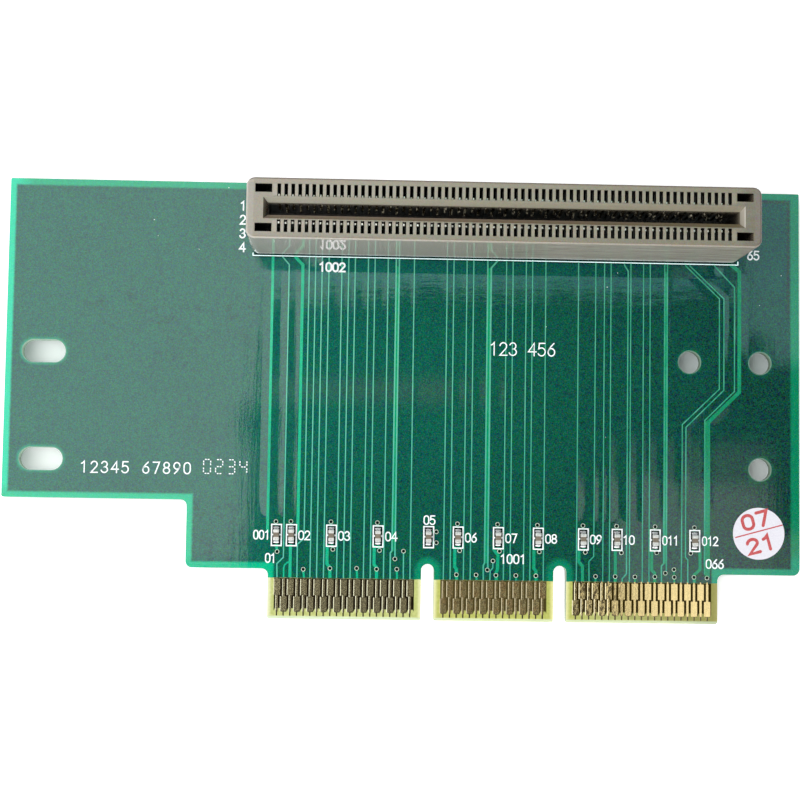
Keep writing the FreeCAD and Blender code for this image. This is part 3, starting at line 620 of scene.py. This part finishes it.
def plate(bm, outline, z0, z1, taper=0.02):
    """Thin raised plate with a convex plan outline."""
    cx = sum(p[0] for p in outline) / len(outline)
    cy = sum(p[1] for p in outline) / len(outline)
    low, top = [], []
    for x, y in outline:
        v = Vector((x - cx, y - cy))
        w = v * (1 - taper / max(v.length, taper * 2))
        low.append(bm.verts.new(at(x, y, z0)))
        top.append(bm.verts.new(at(cx + w.x, cy + w.y, z1)))
    n = len(low)
    for i in range(n):
        bm.faces.new((low[i], low[(i + 1) % n], top[(i + 1) % n], top[i]))
    bm.faces.new(top)
    bm.faces.new(low[::-1])


def round_rect(x0, x1, y0, y1, r, seg=4):
    pts = []
    for cx, cy, a in ((x1 - r, y1 - r, 0), (x0 + r, y1 - r, 90), (x0 + r, y0 + r, 180), (x1 - r, y0 + r, 270)):
        for i in range(seg + 1):
            t = math.radians(a + 90 * i / seg)
            pts.append((cx + r * math.cos(t), cy + r * math.sin(t)))
    return pts


def lathe(bm, profile, x, y, seg=24):
    """Turned body from an (r, z) profile; one that starts and ends on the axis is capped by it."""
    on_axis = profile[0][0] == 0.0 and profile[-1][0] == 0.0
    inner = profile[1:-1] if on_axis else profile
    rings = []
    for i in range(seg):
        t = 2 * math.pi * i / seg
        rings.append([bm.verts.new(at(x + r * math.cos(t), y + r * math.sin(t), z)) for r, z in inner])
    m = len(inner)
    if on_axis:
        first, last = bm.verts.new(at(x, y, profile[0][1])), bm.verts.new(at(x, y, profile[-1][1]))
    for i in range(seg):
        a, b = rings[i], rings[(i + 1) % seg]
        for j in range(m - 1 if on_axis else m):
            bm.faces.new((a[j], a[(j + 1) % m], b[(j + 1) % m], b[j]))
        if on_axis:
            bm.faces.new((first, a[0], b[0]))
            bm.faces.new((last, b[-1], a[-1]))


def arc(cx, cy, rx, ry, a0, a1, n=8):
    return [(cx + rx * math.cos(math.radians(a0 + (a1 - a0) * i / n)), cy + ry * math.sin(math.radians(a0 + (a1 - a0) * i / n)))
            for i in range(n + 1)]


# Stroke numerals in a box 0.60 wide and 1 high: (points, closed)
NUMERALS = {
    "0": [(arc(0.30, 0.68, 0.28, 0.32, 0, 180, 10) + arc(0.30, 0.32, 0.28, 0.32, 180, 360, 10), True)],
    "1": [([(0.10, 0.80), (0.22, 0.86), (0.34, 1.0), (0.34, 0.0)], False)],
    "2": [(arc(0.30, 0.72, 0.27, 0.28, 170, -35, 10) + [(0.03, 0.0), (0.60, 0.0)], False)],
    "3": [(arc(0.29, 0.75, 0.25, 0.25, 160, -90, 10) + arc(0.29, 0.26, 0.29, 0.26, 80, -165, 12), False)],
    "4": [([(0.46, 0.0), (0.46, 1.0), (0.0, 0.31), (0.62, 0.31)], False)],
    "5": [([(0.54, 1.0), (0.10, 1.0), (0.06, 0.56)] + arc(0.28, 0.32, 0.30, 0.32, 125, -150, 12), False)],
    "6": [([(0.50, 1.0), (0.25, 0.74), (0.07, 0.46)] + arc(0.30, 0.30, 0.27, 0.30, 170, -190, 16), False)],
    "7": [([(0.02, 1.0), (0.58, 1.0), (0.22, 0.0)], False)],
    "8": [(arc(0.30, 0.76, 0.24, 0.24, -90, 270, 14), True), (arc(0.30, 0.26, 0.28, 0.26, 90, 450, 14), True)],
    "9": [([(0.10, 0.0), (0.35, 0.26), (0.53, 0.54)] + arc(0.30, 0.70, 0.27, 0.30, -10, 350, 16), False)],
}


def numerals(bm, text, x, y, height, pitch, stroke, z0, z1, aspect=1.0, angle=0.0):
    """Writes plain numerals with their lower left corner at (x, y)."""
    ca, sa = math.cos(math.radians(angle)), math.sin(math.radians(angle))
    for i, ch in enumerate(text):
        if ch == " ":
            continue
        for k, (pts, closed) in enumerate(NUMERALS[ch]):
            out = []
            for px, py in pts:
                u, v = i * pitch + px * height * aspect, py * height
                out.append((x + u * ca - v * sa, y + u * sa + v * ca))
            ribbon(bm, out, stroke, z0, z1 + 0.002 * k, closed=closed, round_ends=True, taper=0.03)


SEGMENTS = {"0": "abcdef", "1": "bc", "2": "abged", "3": "abgcd", "4": "fgbc"}


def segment_numerals(bm, text, x, y, height, pitch, stroke, z0, z1):
    w, h, e = height * 0.50, height, height * 0.055
    lines = {"a": ((0, h), (w, h)), "g": ((0, h / 2), (w, h / 2)), "d": ((0, 0), (w, 0)), "f": ((0, h / 2), (0, h)),
             "b": ((w, h / 2), (w, h)), "e": ((0, 0), (0, h / 2)), "c": ((w, 0), (w, h / 2))}
    for i, ch in enumerate(text):
        for key in SEGMENTS[ch]:
            p, q = Vector(lines[key][0]), Vector(lines[key][1])
            d = (q - p).normalized() * e * 1.6
            p, q = p + d, q - d
            mid, gap = (p + q) / 2, d * 0.35
            for a, b in ((p, mid - gap), (mid + gap, q)):
                ribbon(bm, [(x + i * pitch + a.x, y + a.y), (x + i * pitch + b.x, y + b.y)], stroke, z0, z1, taper=0.02)


# ---------------------------------------------------------------------------
# Copper under the mask, component side
# ---------------------------------------------------------------------------
TOP = 52.62
LOW = 2.74
SINK = -0.02
T_Z = 0.040
thin, pour = [], []
for x in (4.81, 5.81, 6.84, 8.81, 9.84, 10.84, 12.84, 13.86, 15.86, 19.86, 24.89, 25.91, 27.91, 28.94, 33.96, 34.96, 36.99,
          37.96, 39.99, 45.01, 49.01, 50.01, 53.06, 55.01, 56.04):
    thin.append(([(x, TOP), (x, LOW)], 0.21))
thin += [
    ([(-0.25, TOP), (-0.25, 51.3), (0.79, 50.1), (0.77, 5.72), (-0.19, 4.76), (-0.12, LOW)], 0.21),
    ([(3.84, TOP), (3.82, 8.57), (2.83, 7.70), (2.86, LOW)], 0.21),
    ([(17.09, TOP), (17.09, 6.95), (16.85, 6.62), (16.88, LOW)], 0.25),
    ([(17.56, TOP), (17.55, 5.71)], 0.25),
    ([(18.83, 6.90), (18.86, LOW)], 0.21),
    ([(31.08, TOP), (31.08, 5.25), (30.90, 4.95), (30.94, LOW)], 0.25),
    ([(32.5, TOP), (32.5, 51.2), (31.62, 50.2), (31.58, 4.26)], 0.28),
    ([(32.36, 5.62), (32.36, 4.6), (31.95, 4.1), (31.92, LOW)], 0.21),
    ([(47.66, TOP), (47.62, 6.5), (46.90, 5.75), (46.94, LOW)], 0.21),
    ([(52.07, TOP), (52.07, 51.0), (52.64, 50.1), (52.61, 3.95), (51.98, 3.25), (51.95, LOW)], 0.23),
    ([(58.27, TOP), (58.27, 5.6), (57.92, 5.2), (57.94, LOW)], 0.25),
    ([(58.68, TOP), (58.68, 4.6), (58.52, 4.14)], 0.25),
    ([(60.96, TOP), (61.55, 51.05), (66.70, 46.1), (66.70, 32.2), (61.03, 26.7), (60.98, 6.3), (60.93, LOW)], 0.22),
    ([(61.6, TOP), (62.2, 51.05), (67.40, 46.1), (67.40, 32.05), (61.60, 26.3), (61.58, 6.6), (61.93, 6.2), (61.95, LOW)], 0.22),
    ([(65.0, TOP), (66.1, 51.0), (69.03, 47.9), (69.03, 31.9), (64.48, 27.4), (64.48, 4.2), (64.80, 3.7)], 0.23),
]
pour += [
    ([(-1.69, TOP), (-1.69, 9.4)], 0.45),
    ([(1.75, TOP), (1.75, 51.25), (2.87, 50.1), (2.86, 9.2)], 0.50),
    ([(1.80, 7.9), (1.81, LOW)], 0.48),
    ([(1.81, 5.1), (1.35, 4.95), (0.95, 4.55), (0.86, 4.1), (0.86, LOW)], 0.26),
    ([(67.2, TOP), (68.5, 51.4), (69.77, 50.35), (69.77, 31.8), (64.95, 27.05), (64.90, 26.2)], 0.62),
    ([(64.94, 27.3), (64.94, 3.55)], 0.78),
    ([(59.83, 4.70), (59.88, 3.55)], 0.28),
]
# tracks from the lower capacitor lands to the contacts
LAND_TRACKS = (
    [(7.33, 8.0), (7.33, 4.85), (7.79, 4.35), (7.82, LOW)], [(14.42, 8.0), (14.42, 4.85), (14.81, 4.4), (14.84, LOW)],
    [(26.59, 8.0), (26.59, 4.67), (26.86, 4.3), (26.90, LOW)], [(32.50, 7.9), (32.50, 7.28), (33.12, 6.5), (33.05, 4.3), (32.86, 3.9), (32.90, LOW)],
    [(38.56, 8.0), (38.56, 4.6), (38.87, 4.2), (38.92, LOW)], [(45.38, 8.0), (45.38, 5.65), (45.92, 5.05), (45.95, LOW)],
    [(50.92, 8.0), (50.92, LOW)], [(56.45, 8.0), (56.45, 4.6), (56.90, 4.1), (56.92, LOW)],
    [(63.80, 7.9), (63.80, 4.75), (62.92, 3.95), (62.92, LOW)],
)
for pts in LAND_TRACKS:
    pour.append((pts, 0.50))
# short joins from vias that have no track of their own
for x, y in VIAS:
    if 3.3 < y < 4.3 and abs(x - 31.52) > 0.1 and abs(x - 58.52) > 0.1:
        if all(abs(x - pts[-1][0]) > 0.2 for pts in LAND_TRACKS) and abs(x - 64.86) > 0.1:
            pour.append(([(x, y), (round(x + 0.12) - 0.08, LOW)], 0.34))
for cx in CAP_X:
    for vx, vy in VIAS:
        if abs(vx - cx) < 1.3 and 6.4 < vy < 12:
            land = CAP_Y + 1.0 if vy > CAP_Y else CAP_Y - 1.0
            pour.append(([(cx + (0.3 if vx > cx + 0.8 else 0.0), land if abs(vx - cx) < 0.9 else vy), (vx, vy)], 0.40))


TRACKS = thin + pour


def beside(x, y, sign):
    """Clear distance from the plan point to the next track on its left (-1) or right (+1)."""
    best = 9.0
    for pts, w in TRACKS:
        for (x0, y0), (x1, y1) in zip(pts, pts[1:]):
            if min(y0, y1) <= y < max(y0, y1):
                gap = (x0 + (x1 - x0) * (y - y0) / (y1 - y0) - x) * sign
                if gap > 0.05:
                    best = min(best, gap - w / 2)
    return best


def bank(gap):
    """Heights (distance from the track, z) of the mask between a track and the middle of the gap beside it."""
    reach = min(gap / 2, 1.25)
    steep = min(max((gap - 0.5) / 0.8, 0.22), 1.0)
    out, z, n = [(0.0, 0.034)], 0.034, 7
    for i in range(n):
        t = 1 - (i + 0.5) / n
        z -= steep * (0.0135 + 0.0330 * t ** 1.2) * reach / n
        out.append((reach * (i + 1) / n, z))
    if gap / 2 > 1.25:
        out[-1] = (out[-1][0], -0.002)
    return out


def swell(bm, pts, width):
    """The mask's rise towards a track: a low bank on both sides, sunk at its ends."""
    pts = [Vector(p) for p in pts]
    spot = max(((a + b) / 2 for a, b in zip(pts, pts[1:]) if abs(a.x - b.x) < 0.2), key=lambda q: -abs(q.y - 30.0))
    left, right = (bank(beside(spot.x, spot.y, sign) - width / 2) for sign in (-1, 1))
    down = pts[0].y > pts[-1].y
    ends = [pts[0] + (pts[1] - pts[0]).normalized() * 3.0, pts[-1] + (pts[-2] - pts[-1]).normalized() * 3.0]
    pts = [pts[0], ends[0]] + pts[1:-1] + [ends[1], pts[-1]]
    section = [(-width / 2 - d, z) for d, z in reversed(left)] + [(width / 2 + d, z) for d, z in right]
    section += [(section[-1][0], -0.03), (section[0][0], -0.03)]
    rows = []
    for i, p in enumerate(pts):
        a = (p - pts[i - 1]).normalized() if i else (pts[1] - p).normalized()
        b = (pts[i + 1] - p).normalized() if i < len(pts) - 1 else a
        m = Vector((-a.y - b.y, a.x + b.x)).normalized() * (1 if down else -1)
        k = 1.0 / abs(m.dot(Vector((-a.y, a.x))))
        flat = i in (0, len(pts) - 1)
        rows.append([bm.verts.new(at(p.x + m.x * o * k, p.y + m.y * o * k, min(z, -0.002) if flat else z)) for o, z in section])
    n = len(section)
    for r, t in zip(rows, rows[1:]):
        for j in range(n):
            bm.faces.new((r[j], r[(j + 1) % n], t[(j + 1) % n], t[j]))
    bm.faces.new(rows[0])
    bm.faces.new(rows[-1])


def long_run(pts):
    """The part of a track between its first and last long stretch, clear of the connector and the capacitors."""
    out = [i for i in range(len(pts) - 1) if math.dist(pts[i], pts[i + 1]) > 5.0]
    if not out:
        return None
    run = [list(q) for q in pts[out[0]:out[-1] + 2]]
    for end, nxt in ((0, 1), (-1, -2)):
        x, y = run[end]
        u, v = run[nxt]
        stop = min(max(y, 11.6), 51.25)
        if y != stop:
            run[end] = [x + (u - x) * (stop - y) / (v - y), stop]
    return run if math.dist(run[0], run[1]) > 5.0 and math.dist(run[-1], run[-2]) > 5.0 else None


bm = bmesh.new()
for pts, w in TRACKS:
    run = long_run(pts)
    if run:
        swell(bm, run, w)
bmesh.ops.recalc_face_normals(bm, faces=bm.faces[:])
for e in bm.edges:
    if len(e.link_faces) == 2 and e.link_faces[0].normal.angle(e.link_faces[1].normal) > 0.5:
        e.smooth = False
piece("mask_swell_front", bm, M_BOARD, smooth=True)
bm = bmesh.new()
for i, (pts, w) in enumerate(thin):
    ribbon(bm, pts, w, SINK, T_Z + (i % 7) * 0.0012, taper=0.025)
piece("tracks_front", bm, M_TRACE)
bm = bmesh.new()
for i, (pts, w) in enumerate(pour):
    ribbon(bm, pts, w, SINK, T_Z + 0.0006 + (i % 9) * 0.0012, taper=0.030)
piece("wide_tracks_front", bm, M_POUR)
# pairs of tracks with copper left between them
bm = bmesh.new()
for i, (x, w, low) in enumerate(((17.32, 0.56, 6.95), (31.33, 0.58, 5.25), (58.475, 0.50, 5.6))):
    ribbon(bm, [(x, 50.15), (x, low)], w, SINK, T_Z - 0.0030 + i * 0.0004, taper=0.025)
piece("joined_tracks_front", bm, M_FILL)

# solder side: tracks from the rear contacts to the connector's pins, and their ring pads
rng = random.Random(7)
bm = bmesh.new()
rz = -THICK
for first, last in BLOCKS:
    for p in range(first, last + 1):
        if p % 8 in (5, 0) or 61 <= p <= 65:
            continue
        fx, px = p - 1.0, COL_X0 + p - 1
        pin_y = CON_CY - (TAIL_OUT if p % 2 else TAIL_IN)
        jog = 46.6 + (p % 4) * 0.5
        side = fx - 0.12 + rng.uniform(-0.04, 0.04)
        ribbon(bm, [(fx, LOW), (side, LOW + 1.2), (side, jog), (px, jog + 0.5), (px, pin_y)], 0.22, rz - SINK, rz - T_Z, taper=0.05)
piece("tracks_rear", bm, M_TRACE)

bm = bmesh.new()
for i in range(66):
    for s in (1, -1):
        u = TAIL_OUT if i % 2 == 0 else TAIL_IN
        lathe(bm, [(0.56, rz), (0.80, rz), (0.785, rz - 0.035), (0.58, rz - 0.045)], COL_X0 + i, CON_CY + s * u, 20)
piece("pin_lands_rear", bm, M_TIN)


# ---------------------------------------------------------------------------
# Edge contacts with worn-in shoulders
# ---------------------------------------------------------------------------
def contact_pad(bm, x, right, wear_and_glint):
    left = [(-a, b) for a, b in reversed(right)]
    low, top = [], []
    for a, b in right + left:
        k = 0.04 if abs(a) < 0.12 else 0.02 if a > 0 else wear_and_glint if abs(a) > 0.3 else min(wear_and_glint, 0.09)
        ta = a - math.copysign(min(k, abs(a) * 0.6), a)
        tb = b - 0.03 if abs(b - 2.52) < 0.01 and abs(a) > 0.12 else b
        low.append(bm.verts.new(at(x + a, b, 0.0)))
        top.append(bm.verts.new(at(x + ta, tb, 0.04)))
    n = len(low)
    for i in range(n):
        bm.faces.new((low[i], low[(i + 1) % n], top[(i + 1) % n], top[i]))
    bm.faces.new(top)
    bm.faces.new(low[::-1])


bm = bmesh.new()
for first, last in BLOCKS:
    for p in range(first, last + 1):
        w, s, e = 0.505, 0.195, 0.115
        up, low_w, step = (w, s, 0.10) if p % 2 else (s, w, -0.10)
        contact_pad(bm, p - 1.11, [(e, -2.98), (e, -2.44), (low_w, -2.32), (low_w, step), (up, step), (up, 2.52), (e, 2.52), (e, 2.80)], 0.092 if p < 52 else 0.03)
pads = piece("edge_contact_pads", bm, M_GOLD)
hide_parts("edge_contacts_front")

# ---------------------------------------------------------------------------
# Capacitor lands and solder
# ---------------------------------------------------------------------------
bm = bmesh.new()
for cx in CAP_X:
    plate(bm, round_rect(cx - 0.60, cx + 0.60, 9.28, 10.50, 0.10), SINK, 0.056)
    plate(bm, round_rect(cx - 0.60, cx + 0.60, 7.70, 8.94, 0.10), SINK, 0.056)
piece("capacitor_lands", bm, M_LAND)


def fillet(bm, cx, side, wet):
    """Concave solder fillet from a land up the end of a capacitor."""
    te = 0.81
    nu, nv = 10, 8
    grid = []
    for j in range(nv + 1):
        v = j / nv
        half = 0.37 + 0.09 * v ** 1.5
        row = []
        for i in range(nu + 1):
            u = -1 + 2 * i / nu
            rise = (1 - v) ** 2.2 * 0.62 * (1 - 0.10 * u * u) + 0.05 * (1 - v)
            drop = max(0.0, abs(u) - 0.72) / 0.28
            z = max(0.060, rise * (1 - 0.75 * drop ** 2) + 0.060)
            y = te - 0.03 + v * (0.44 + 0.05 * wet) * (1 - 0.16 * u * u * v)
            row.append(bm.verts.new(at(cx + u * half, CAP_Y + side * y, z)))
        grid.append(row)
    base = [[bm.verts.new(at(*(Vector(v.co) * 1000 - Vector(SHIFT)).xy, 0.0)) for v in row] for row in grid]
    for j in range(nv):
        for i in range(nu):
            f = (grid[j][i], grid[j][i + 1], grid[j + 1][i + 1], grid[j + 1][i])
            b = (base[j][i], base[j + 1][i], base[j + 1][i + 1], base[j][i + 1])
            bm.faces.new(f)
            bm.faces.new(b)
    rim = [(0, i, 0, i + 1) for i in range(nu)] + [(j, nu, j + 1, nu) for j in range(nv)]
    rim += [(nv, i + 1, nv, i) for i in reversed(range(nu))] + [(j + 1, 0, j, 0) for j in reversed(range(nv))]
    for a, b, c, e in rim:
        bm.faces.new((grid[a][b], base[a][b], base[c][e], grid[c][e]))


bm = bmesh.new()
for n, cx in enumerate(CAP_X):
    fillet(bm, cx, 1, rng.uniform(0, 1))
    fillet(bm, cx, -1, rng.uniform(0, 1))
joint = piece("capacitor_fillets", bm, M_SOLDER, smooth=True)
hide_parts("capacitor_solder")

# ---------------------------------------------------------------------------
# Plated via rings, plugged with dark fill
# ---------------------------------------------------------------------------
bm = bmesh.new()
b = -THICK
ring = [(0.19, b - 0.005), (0.225, b - 0.040), (0.28, b - 0.050), (0.322, b - 0.036), (0.332, b), (0.225, b), (0.225, 0.0), (0.332, 0.0),
        (0.322, 0.052), (0.298, 0.064), (0.262, 0.058), (0.250, 0.026), (0.19, 0.004)]
for x, y in VIAS:
    lathe(bm, ring, x, y, 24)
rings = piece("via_rings", bm, M_RING)
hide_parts("via_barrels")
bm = bmesh.new()
for x, y in VIAS:
    lathe(bm, [(0.0, -1.42), (0.10, -1.44), (0.188, -1.50), (0.188, 0.005), (0.244, 0.028), (0.240, 0.050), (0.19, 0.057), (0.0, 0.060)], x, y, 20)
piece("via_fills", bm, M_PLUG)

# ---------------------------------------------------------------------------
# Screen print: boxes round the capacitors, connector outline, plain numerals
# ---------------------------------------------------------------------------
I0, I1 = SINK, 0.060
bm = bmesh.new()
for cx in CAP_X:
    l, r = cx - 0.705, cx + 0.765
    ribbon(bm, [(l, 7.48), (r, 7.48), (r, 10.64), (l, 10.64)], 0.21, I0, I1, closed=True)
    ribbon(bm, [(l, 9.12), (cx - 0.46, 9.12)], 0.26, I0, I1 + 0.002)
    ribbon(bm, [(cx + 0.46, 9.12), (r, 9.12)], 0.26, I0, I1 + 0.002)
ribbon(bm, [(-4.75, 51.84), (-4.75, 51.42), (69.56, 51.37), (69.56, 51.90)], 0.145, I0, I1)
label_x = (-3.95, 3.00, 9.00, 16.10, 21.85, 28.15, 34.25, 40.30, 47.10, 52.10, 58.10, 64.15)
for n, lx in enumerate(label_x, 1):
    ly = 10.98 if n == 5 else 8.42
    text = "%03d" % n if n in (1, 11, 12) else "%02d" % n
    if len(text) == 3:
        numerals(bm, text, lx + (0.20 if n == 1 else 0.0), ly, 1.28, 0.85, 0.22, I0, I1, 0.86)
    else:
        numerals(bm, text, lx, ly, 1.28, 0.93, 0.22, I0, I1, 0.98)
numerals(bm, "01", -1.92, 4.95, 1.30, 0.82, 0.22, I0, I1, 0.90)
numerals(bm, "1001", 33.50, 5.28, 1.32, 1.00, 0.22, I0, I1, 0.98)
numerals(bm, "066", 64.72, 4.97, 1.30, 0.94, 0.23, I0, I1, 1.0)
numerals(bm, "1002", 5.37, 49.20, 1.28, 1.03, 0.31, I0, I1, 1.05)
numerals(bm, "123 456", 31.55, 36.83, 1.92, 1.47, 0.215, I0, I1, 0.98)
numerals(bm, "12345 67890", -29.95, 18.05, 1.66, 1.55, 0.22, I0, I1, 1.0)
segment_numerals(bm, "0234", -11.5, 18.15, 2.10, 1.82, 0.18, I0, I1)
for i, yy in enumerate((58.35, 56.20, 54.10, 51.97)):
    numerals(bm, str(i + 1), -6.80, yy, 1.32, 1.0, 0.25, I0, I1, 1.0)
numerals(bm, "65", 71.05, 52.25, 1.30, 0.98, 0.24, I0, I1, 1.0)
piece("screen_print_front", bm, M_INK)

# ---------------------------------------------------------------------------
# Print on the round label: two rows of plain numerals and a slanting rule
# ---------------------------------------------------------------------------
sx, sy, sr, st = STICKER
bm = bmesh.new()
ribbon(bm, [(69.15, 9.66), (76.38, 11.67)], 0.20, st - 0.01, st + 0.012, taper=0.01)
numerals(bm, "07", 70.55, 10.75, 2.10, 2.35, 0.50, st - 0.01, st + 0.012, 1.35, 15.5)
numerals(bm, "21", 71.35, 7.15, 2.10, 2.35, 0.50, st - 0.01, st + 0.012, 1.35, 15.5)
piece("label_print", bm, M_RED)

# ---------------------------------------------------------------------------
# A few dust specks on the mask
# ---------------------------------------------------------------------------
bm = bmesh.new()
for x, y, r in ((-19.84, 56.6, 0.09), (-19.19, 54.13, 0.06), (-12.93, 52.19, 0.07), (-8.63, 61.75, 0.09), (51.0, 49.79, 0.08),
                (49.43, 47.58, 0.09), (76.25, 49.87, 0.08), (72.9, 45.2, 0.06), (40.1, 41.3, 0.07), (49.3, 24.6, 0.06)):
    n = 9
    low, mid = [], []
    for i in range(n):
        t = 2 * math.pi * i / n
        k = r * rng.uniform(0.7, 1.2)
        low.append(bm.verts.new(at(x + k * math.cos(t), y + k * math.sin(t), 0.0)))
        mid.append(bm.verts.new(at(x + 0.6 * k * math.cos(t), y + 0.6 * k * math.sin(t), 0.05)))
    top = bm.verts.new(at(x, y, 0.07))
    for i in range(n):
        j = (i + 1) % n
        bm.faces.new((low[i], low[j], mid[j], mid[i]))
        bm.faces.new((mid[i], mid[j], top))
    bm.faces.new(low[::-1])
# the specks use the white ink's material, with its painted glow
piece("dust_specks", bm, M_INK, smooth=True)

# ---------------------------------------------------------------------------
# Floor, lights, camera
# ---------------------------------------------------------------------------
g = Graph("studio_floor")
# the floor glows outside the card's outline, nearly twice as much in the key notches and weakly under the holes:
# painted light that clears the card's shadow off the floor; under the card it has no glow and a cooler tint
fl = g.noise(0.05, 2.0, 0.5)
inside = g.math("MAXIMUM", g.box(-41.66, 79.0, 14.18, 62.57), g.box(-13.9, 79.0, 4.03, 62.57))
inside = g.math("MAXIMUM", inside, g.box(-1.52, 66.45, -3.45, 62.57))
for cx in (22.5, 42.5):
    inside = g.math("MINIMUM", inside, g.math("SUBTRACT", g.away(cx, cx, -6.0, 4.05), 1.25))
for hx, hy in SLOT_HOLES:
    hole = g.math("MAXIMUM", g.math("MULTIPLY_ADD", g.away(hx - 1.55, hx + 1.55, hy, hy), 0.8, -1.55), 0.03 if hy > 30 else -0.09)
    inside = g.math("MINIMUM", inside, hole)
for (hx, hy), least in zip(ROUND_HOLES, (0.18, 0.24, 0.07)):
    inside = g.math("MINIMUM", inside, g.math("MAXIMUM", g.math("MULTIPLY_ADD", g.away(hx, hx, hy, hy), 0.8, -1.55), least))
pale = g.mix(fl, (0.93, 0.93, 0.93), (0.95, 0.95, 0.95))
notch = g.math("SUBTRACT", g.math("MINIMUM", g.away(22.5, 22.5, -6.0, 4.05), g.away(42.5, 42.5, -6.0, 4.05)), 0.98)
lit = g.mix(g.span(notch, 0.30, 0.0), (1.0, 1.0, 1.0), (1.9, 1.9, 1.9))
g.set(color=g.mix(g.span(inside, -0.4, 0.4), pale, (0.88, 0.98, 0.97)), rough=0.9, spec=0.0,
      glow=g.mix(g.span(inside, 0.3, -0.5), (0.0, 0.0, 0.0), lit), glow_s=0.45)
me = bpy.data.meshes.new("floor")
me.from_pydata([(-6, -6, 0), (6, -6, 0), (6, 6, 0), (-6, 6, 0)], [], [(0, 1, 2, 3)])
me.materials.append(g.mat)
floor = bpy.data.objects.new("floor", me)
bpy.context.scene.collection.objects.link(floor)

world = bpy.data.worlds.new("studio")
bpy.context.scene.world = world
world.use_nodes = True
wt = world.node_tree
wt.nodes.clear()
wo = wt.nodes.new("ShaderNodeOutputWorld")
wb = wt.nodes.new("ShaderNodeBackground")
wc = wt.nodes.new("ShaderNodeTexCoord")
ws = wt.nodes.new("ShaderNodeSeparateXYZ")
wr = wt.nodes.new("ShaderNodeValToRGB")
wt.links.new(wc.outputs["Generated"], ws.inputs[0])
wt.links.new(ws.outputs[2], wr.inputs[0])
wt.links.new(wr.outputs[0], wb.inputs[0])
wt.links.new(wb.outputs[0], wo.inputs[0])
wr.color_ramp.elements[0].position = 0.10
wr.color_ramp.elements[0].color = (0.80, 0.80, 0.80, 1)
wr.color_ramp.elements[1].position = 0.70
wr.color_ramp.elements[1].color = (0.05, 0.05, 0.052, 1)


def softbox(name, x0, x1, y0, y1, height, radiance, glossy=True, diffuse=True, tint=(1, 1, 1)):
    """Rectangular light facing down, with its plan corners in board coordinates."""
    light = bpy.data.lights.new(name, "AREA")
    light.shape = "RECTANGLE"
    light.size, light.size_y = (x1 - x0) * 0.001, (y1 - y0) * 0.001
    light.energy = radiance * math.pi * light.size * light.size_y
    light.color = tint
    o = bpy.data.objects.new(name, light)
    o.location = at((x0 + x1) / 2, (y0 + y1) / 2, height)
    o.visible_camera = False
    o.visible_glossy = glossy
    o.visible_diffuse = diffuse
    bpy.context.scene.collection.objects.link(o)
    return o


softbox("left_box", -560, -36, -12, 480, 450, 2.35)
softbox("left_box_near", -560, -120, -330, -12, 450, 2.35)
softbox("left_box_edge", -36, -25, 88, 480, 450, 2.35)
softbox("left_box_edge_mid", -36, -29.6, 72, 88, 450, 2.35)
softbox("left_box_edge_low", -36, -30.6, 58, 72, 450, 2.35)
softbox("left_box_foot", -36, -33.8, 4, 41, 450, 2.35)
softbox("ceiling_strip", -25, 60, 60, 70, 450, 0.55, diffuse=False, tint=(1.0, 0.6, 0.6))
softbox("top_box_a", -25, 12, 106, 420, 450, 1.90, diffuse=False, tint=(0.72, 1.0, 0.95))
softbox("top_box_b", 12, 50, 112, 420, 450, 1.90, diffuse=False, tint=(0.62, 1.0, 0.95))
softbox("top_box_c", 50, 105, 111, 420, 450, 1.42, diffuse=False, tint=(0.50, 1.0, 0.97))
softbox("top_box_d", 105, 170, 111, 420, 450, 1.50, diffuse=False, tint=(0.44, 1.0, 1.0))
softbox("corner_box", 180, 420, 92, 420, 450, 1.80, diffuse=False, tint=(0.54, 1.0, 0.97))
softbox("corner_box_low", 192, 420, 80, 92, 450, 1.80, diffuse=False, tint=(0.54, 1.0, 0.97))
softbox("right_box", 125, 193, -120, 26, 450, 1.35)
softbox("right_box_top", 140, 193, 26, 44, 450, 0.50, diffuse=False)
softbox("right_box_far", 193, 300, -120, 5, 450, 0.90)
softbox("overhead_fill", -460, 460, -420, 480, 620, 0.18, glossy=False)


def lamp(name, size, size_y, azimuth, elevation, distance, radiance, glossy):
    """Rectangular light aimed at the middle of the board from a compass direction (0 is +X)."""
    light = bpy.data.lights.new(name, "AREA")
    light.shape = "RECTANGLE"
    light.size, light.size_y = size, size_y
    light.energy = radiance * math.pi * size * size_y
    o = bpy.data.objects.new(name, light)
    aim = Vector(at(18.0, 29.0, 0.0))
    a, e = math.radians(azimuth), math.radians(elevation)
    o.location = aim + Vector((math.cos(a) * math.cos(e), math.sin(a) * math.cos(e), math.sin(e))) * distance
    o.rotation_euler = (aim - o.location).to_track_quat("-Z", "Y").to_euler()
    o.visible_camera = False
    o.visible_glossy = glossy
    bpy.context.scene.collection.objects.link(o)
    return o


lamp("front_key", 0.62, 0.33, -90, 38, 0.55, 3.2, True)
lamp("side_fill", 0.45, 0.35, 180, 33, 0.70, 2.9, False)

cam = bpy.data.cameras.new("camera")
cam.sensor_width = 36.0
cam.lens = 72.05
cam.shift_x, cam.shift_y = -0.000625, 0.000625
cam.clip_start, cam.clip_end = 0.01, 50.0
eye = bpy.data.objects.new("camera", cam)
eye.matrix_world = Matrix.Translation((-0.00776236, -0.01660955, 0.24511176)) @ Matrix((
    (0.99942418, -0.01702549, -0.02935019), (0.01497396, 0.99752124, -0.06875439), (0.03044802, 0.06827531, 0.99720178))).to_4x4()
bpy.context.scene.collection.objects.link(eye)
bpy.context.scene.camera = eye
bpy.context.scene.view_settings.view_transform = "Standard"

bpy.context.view_layer.update()
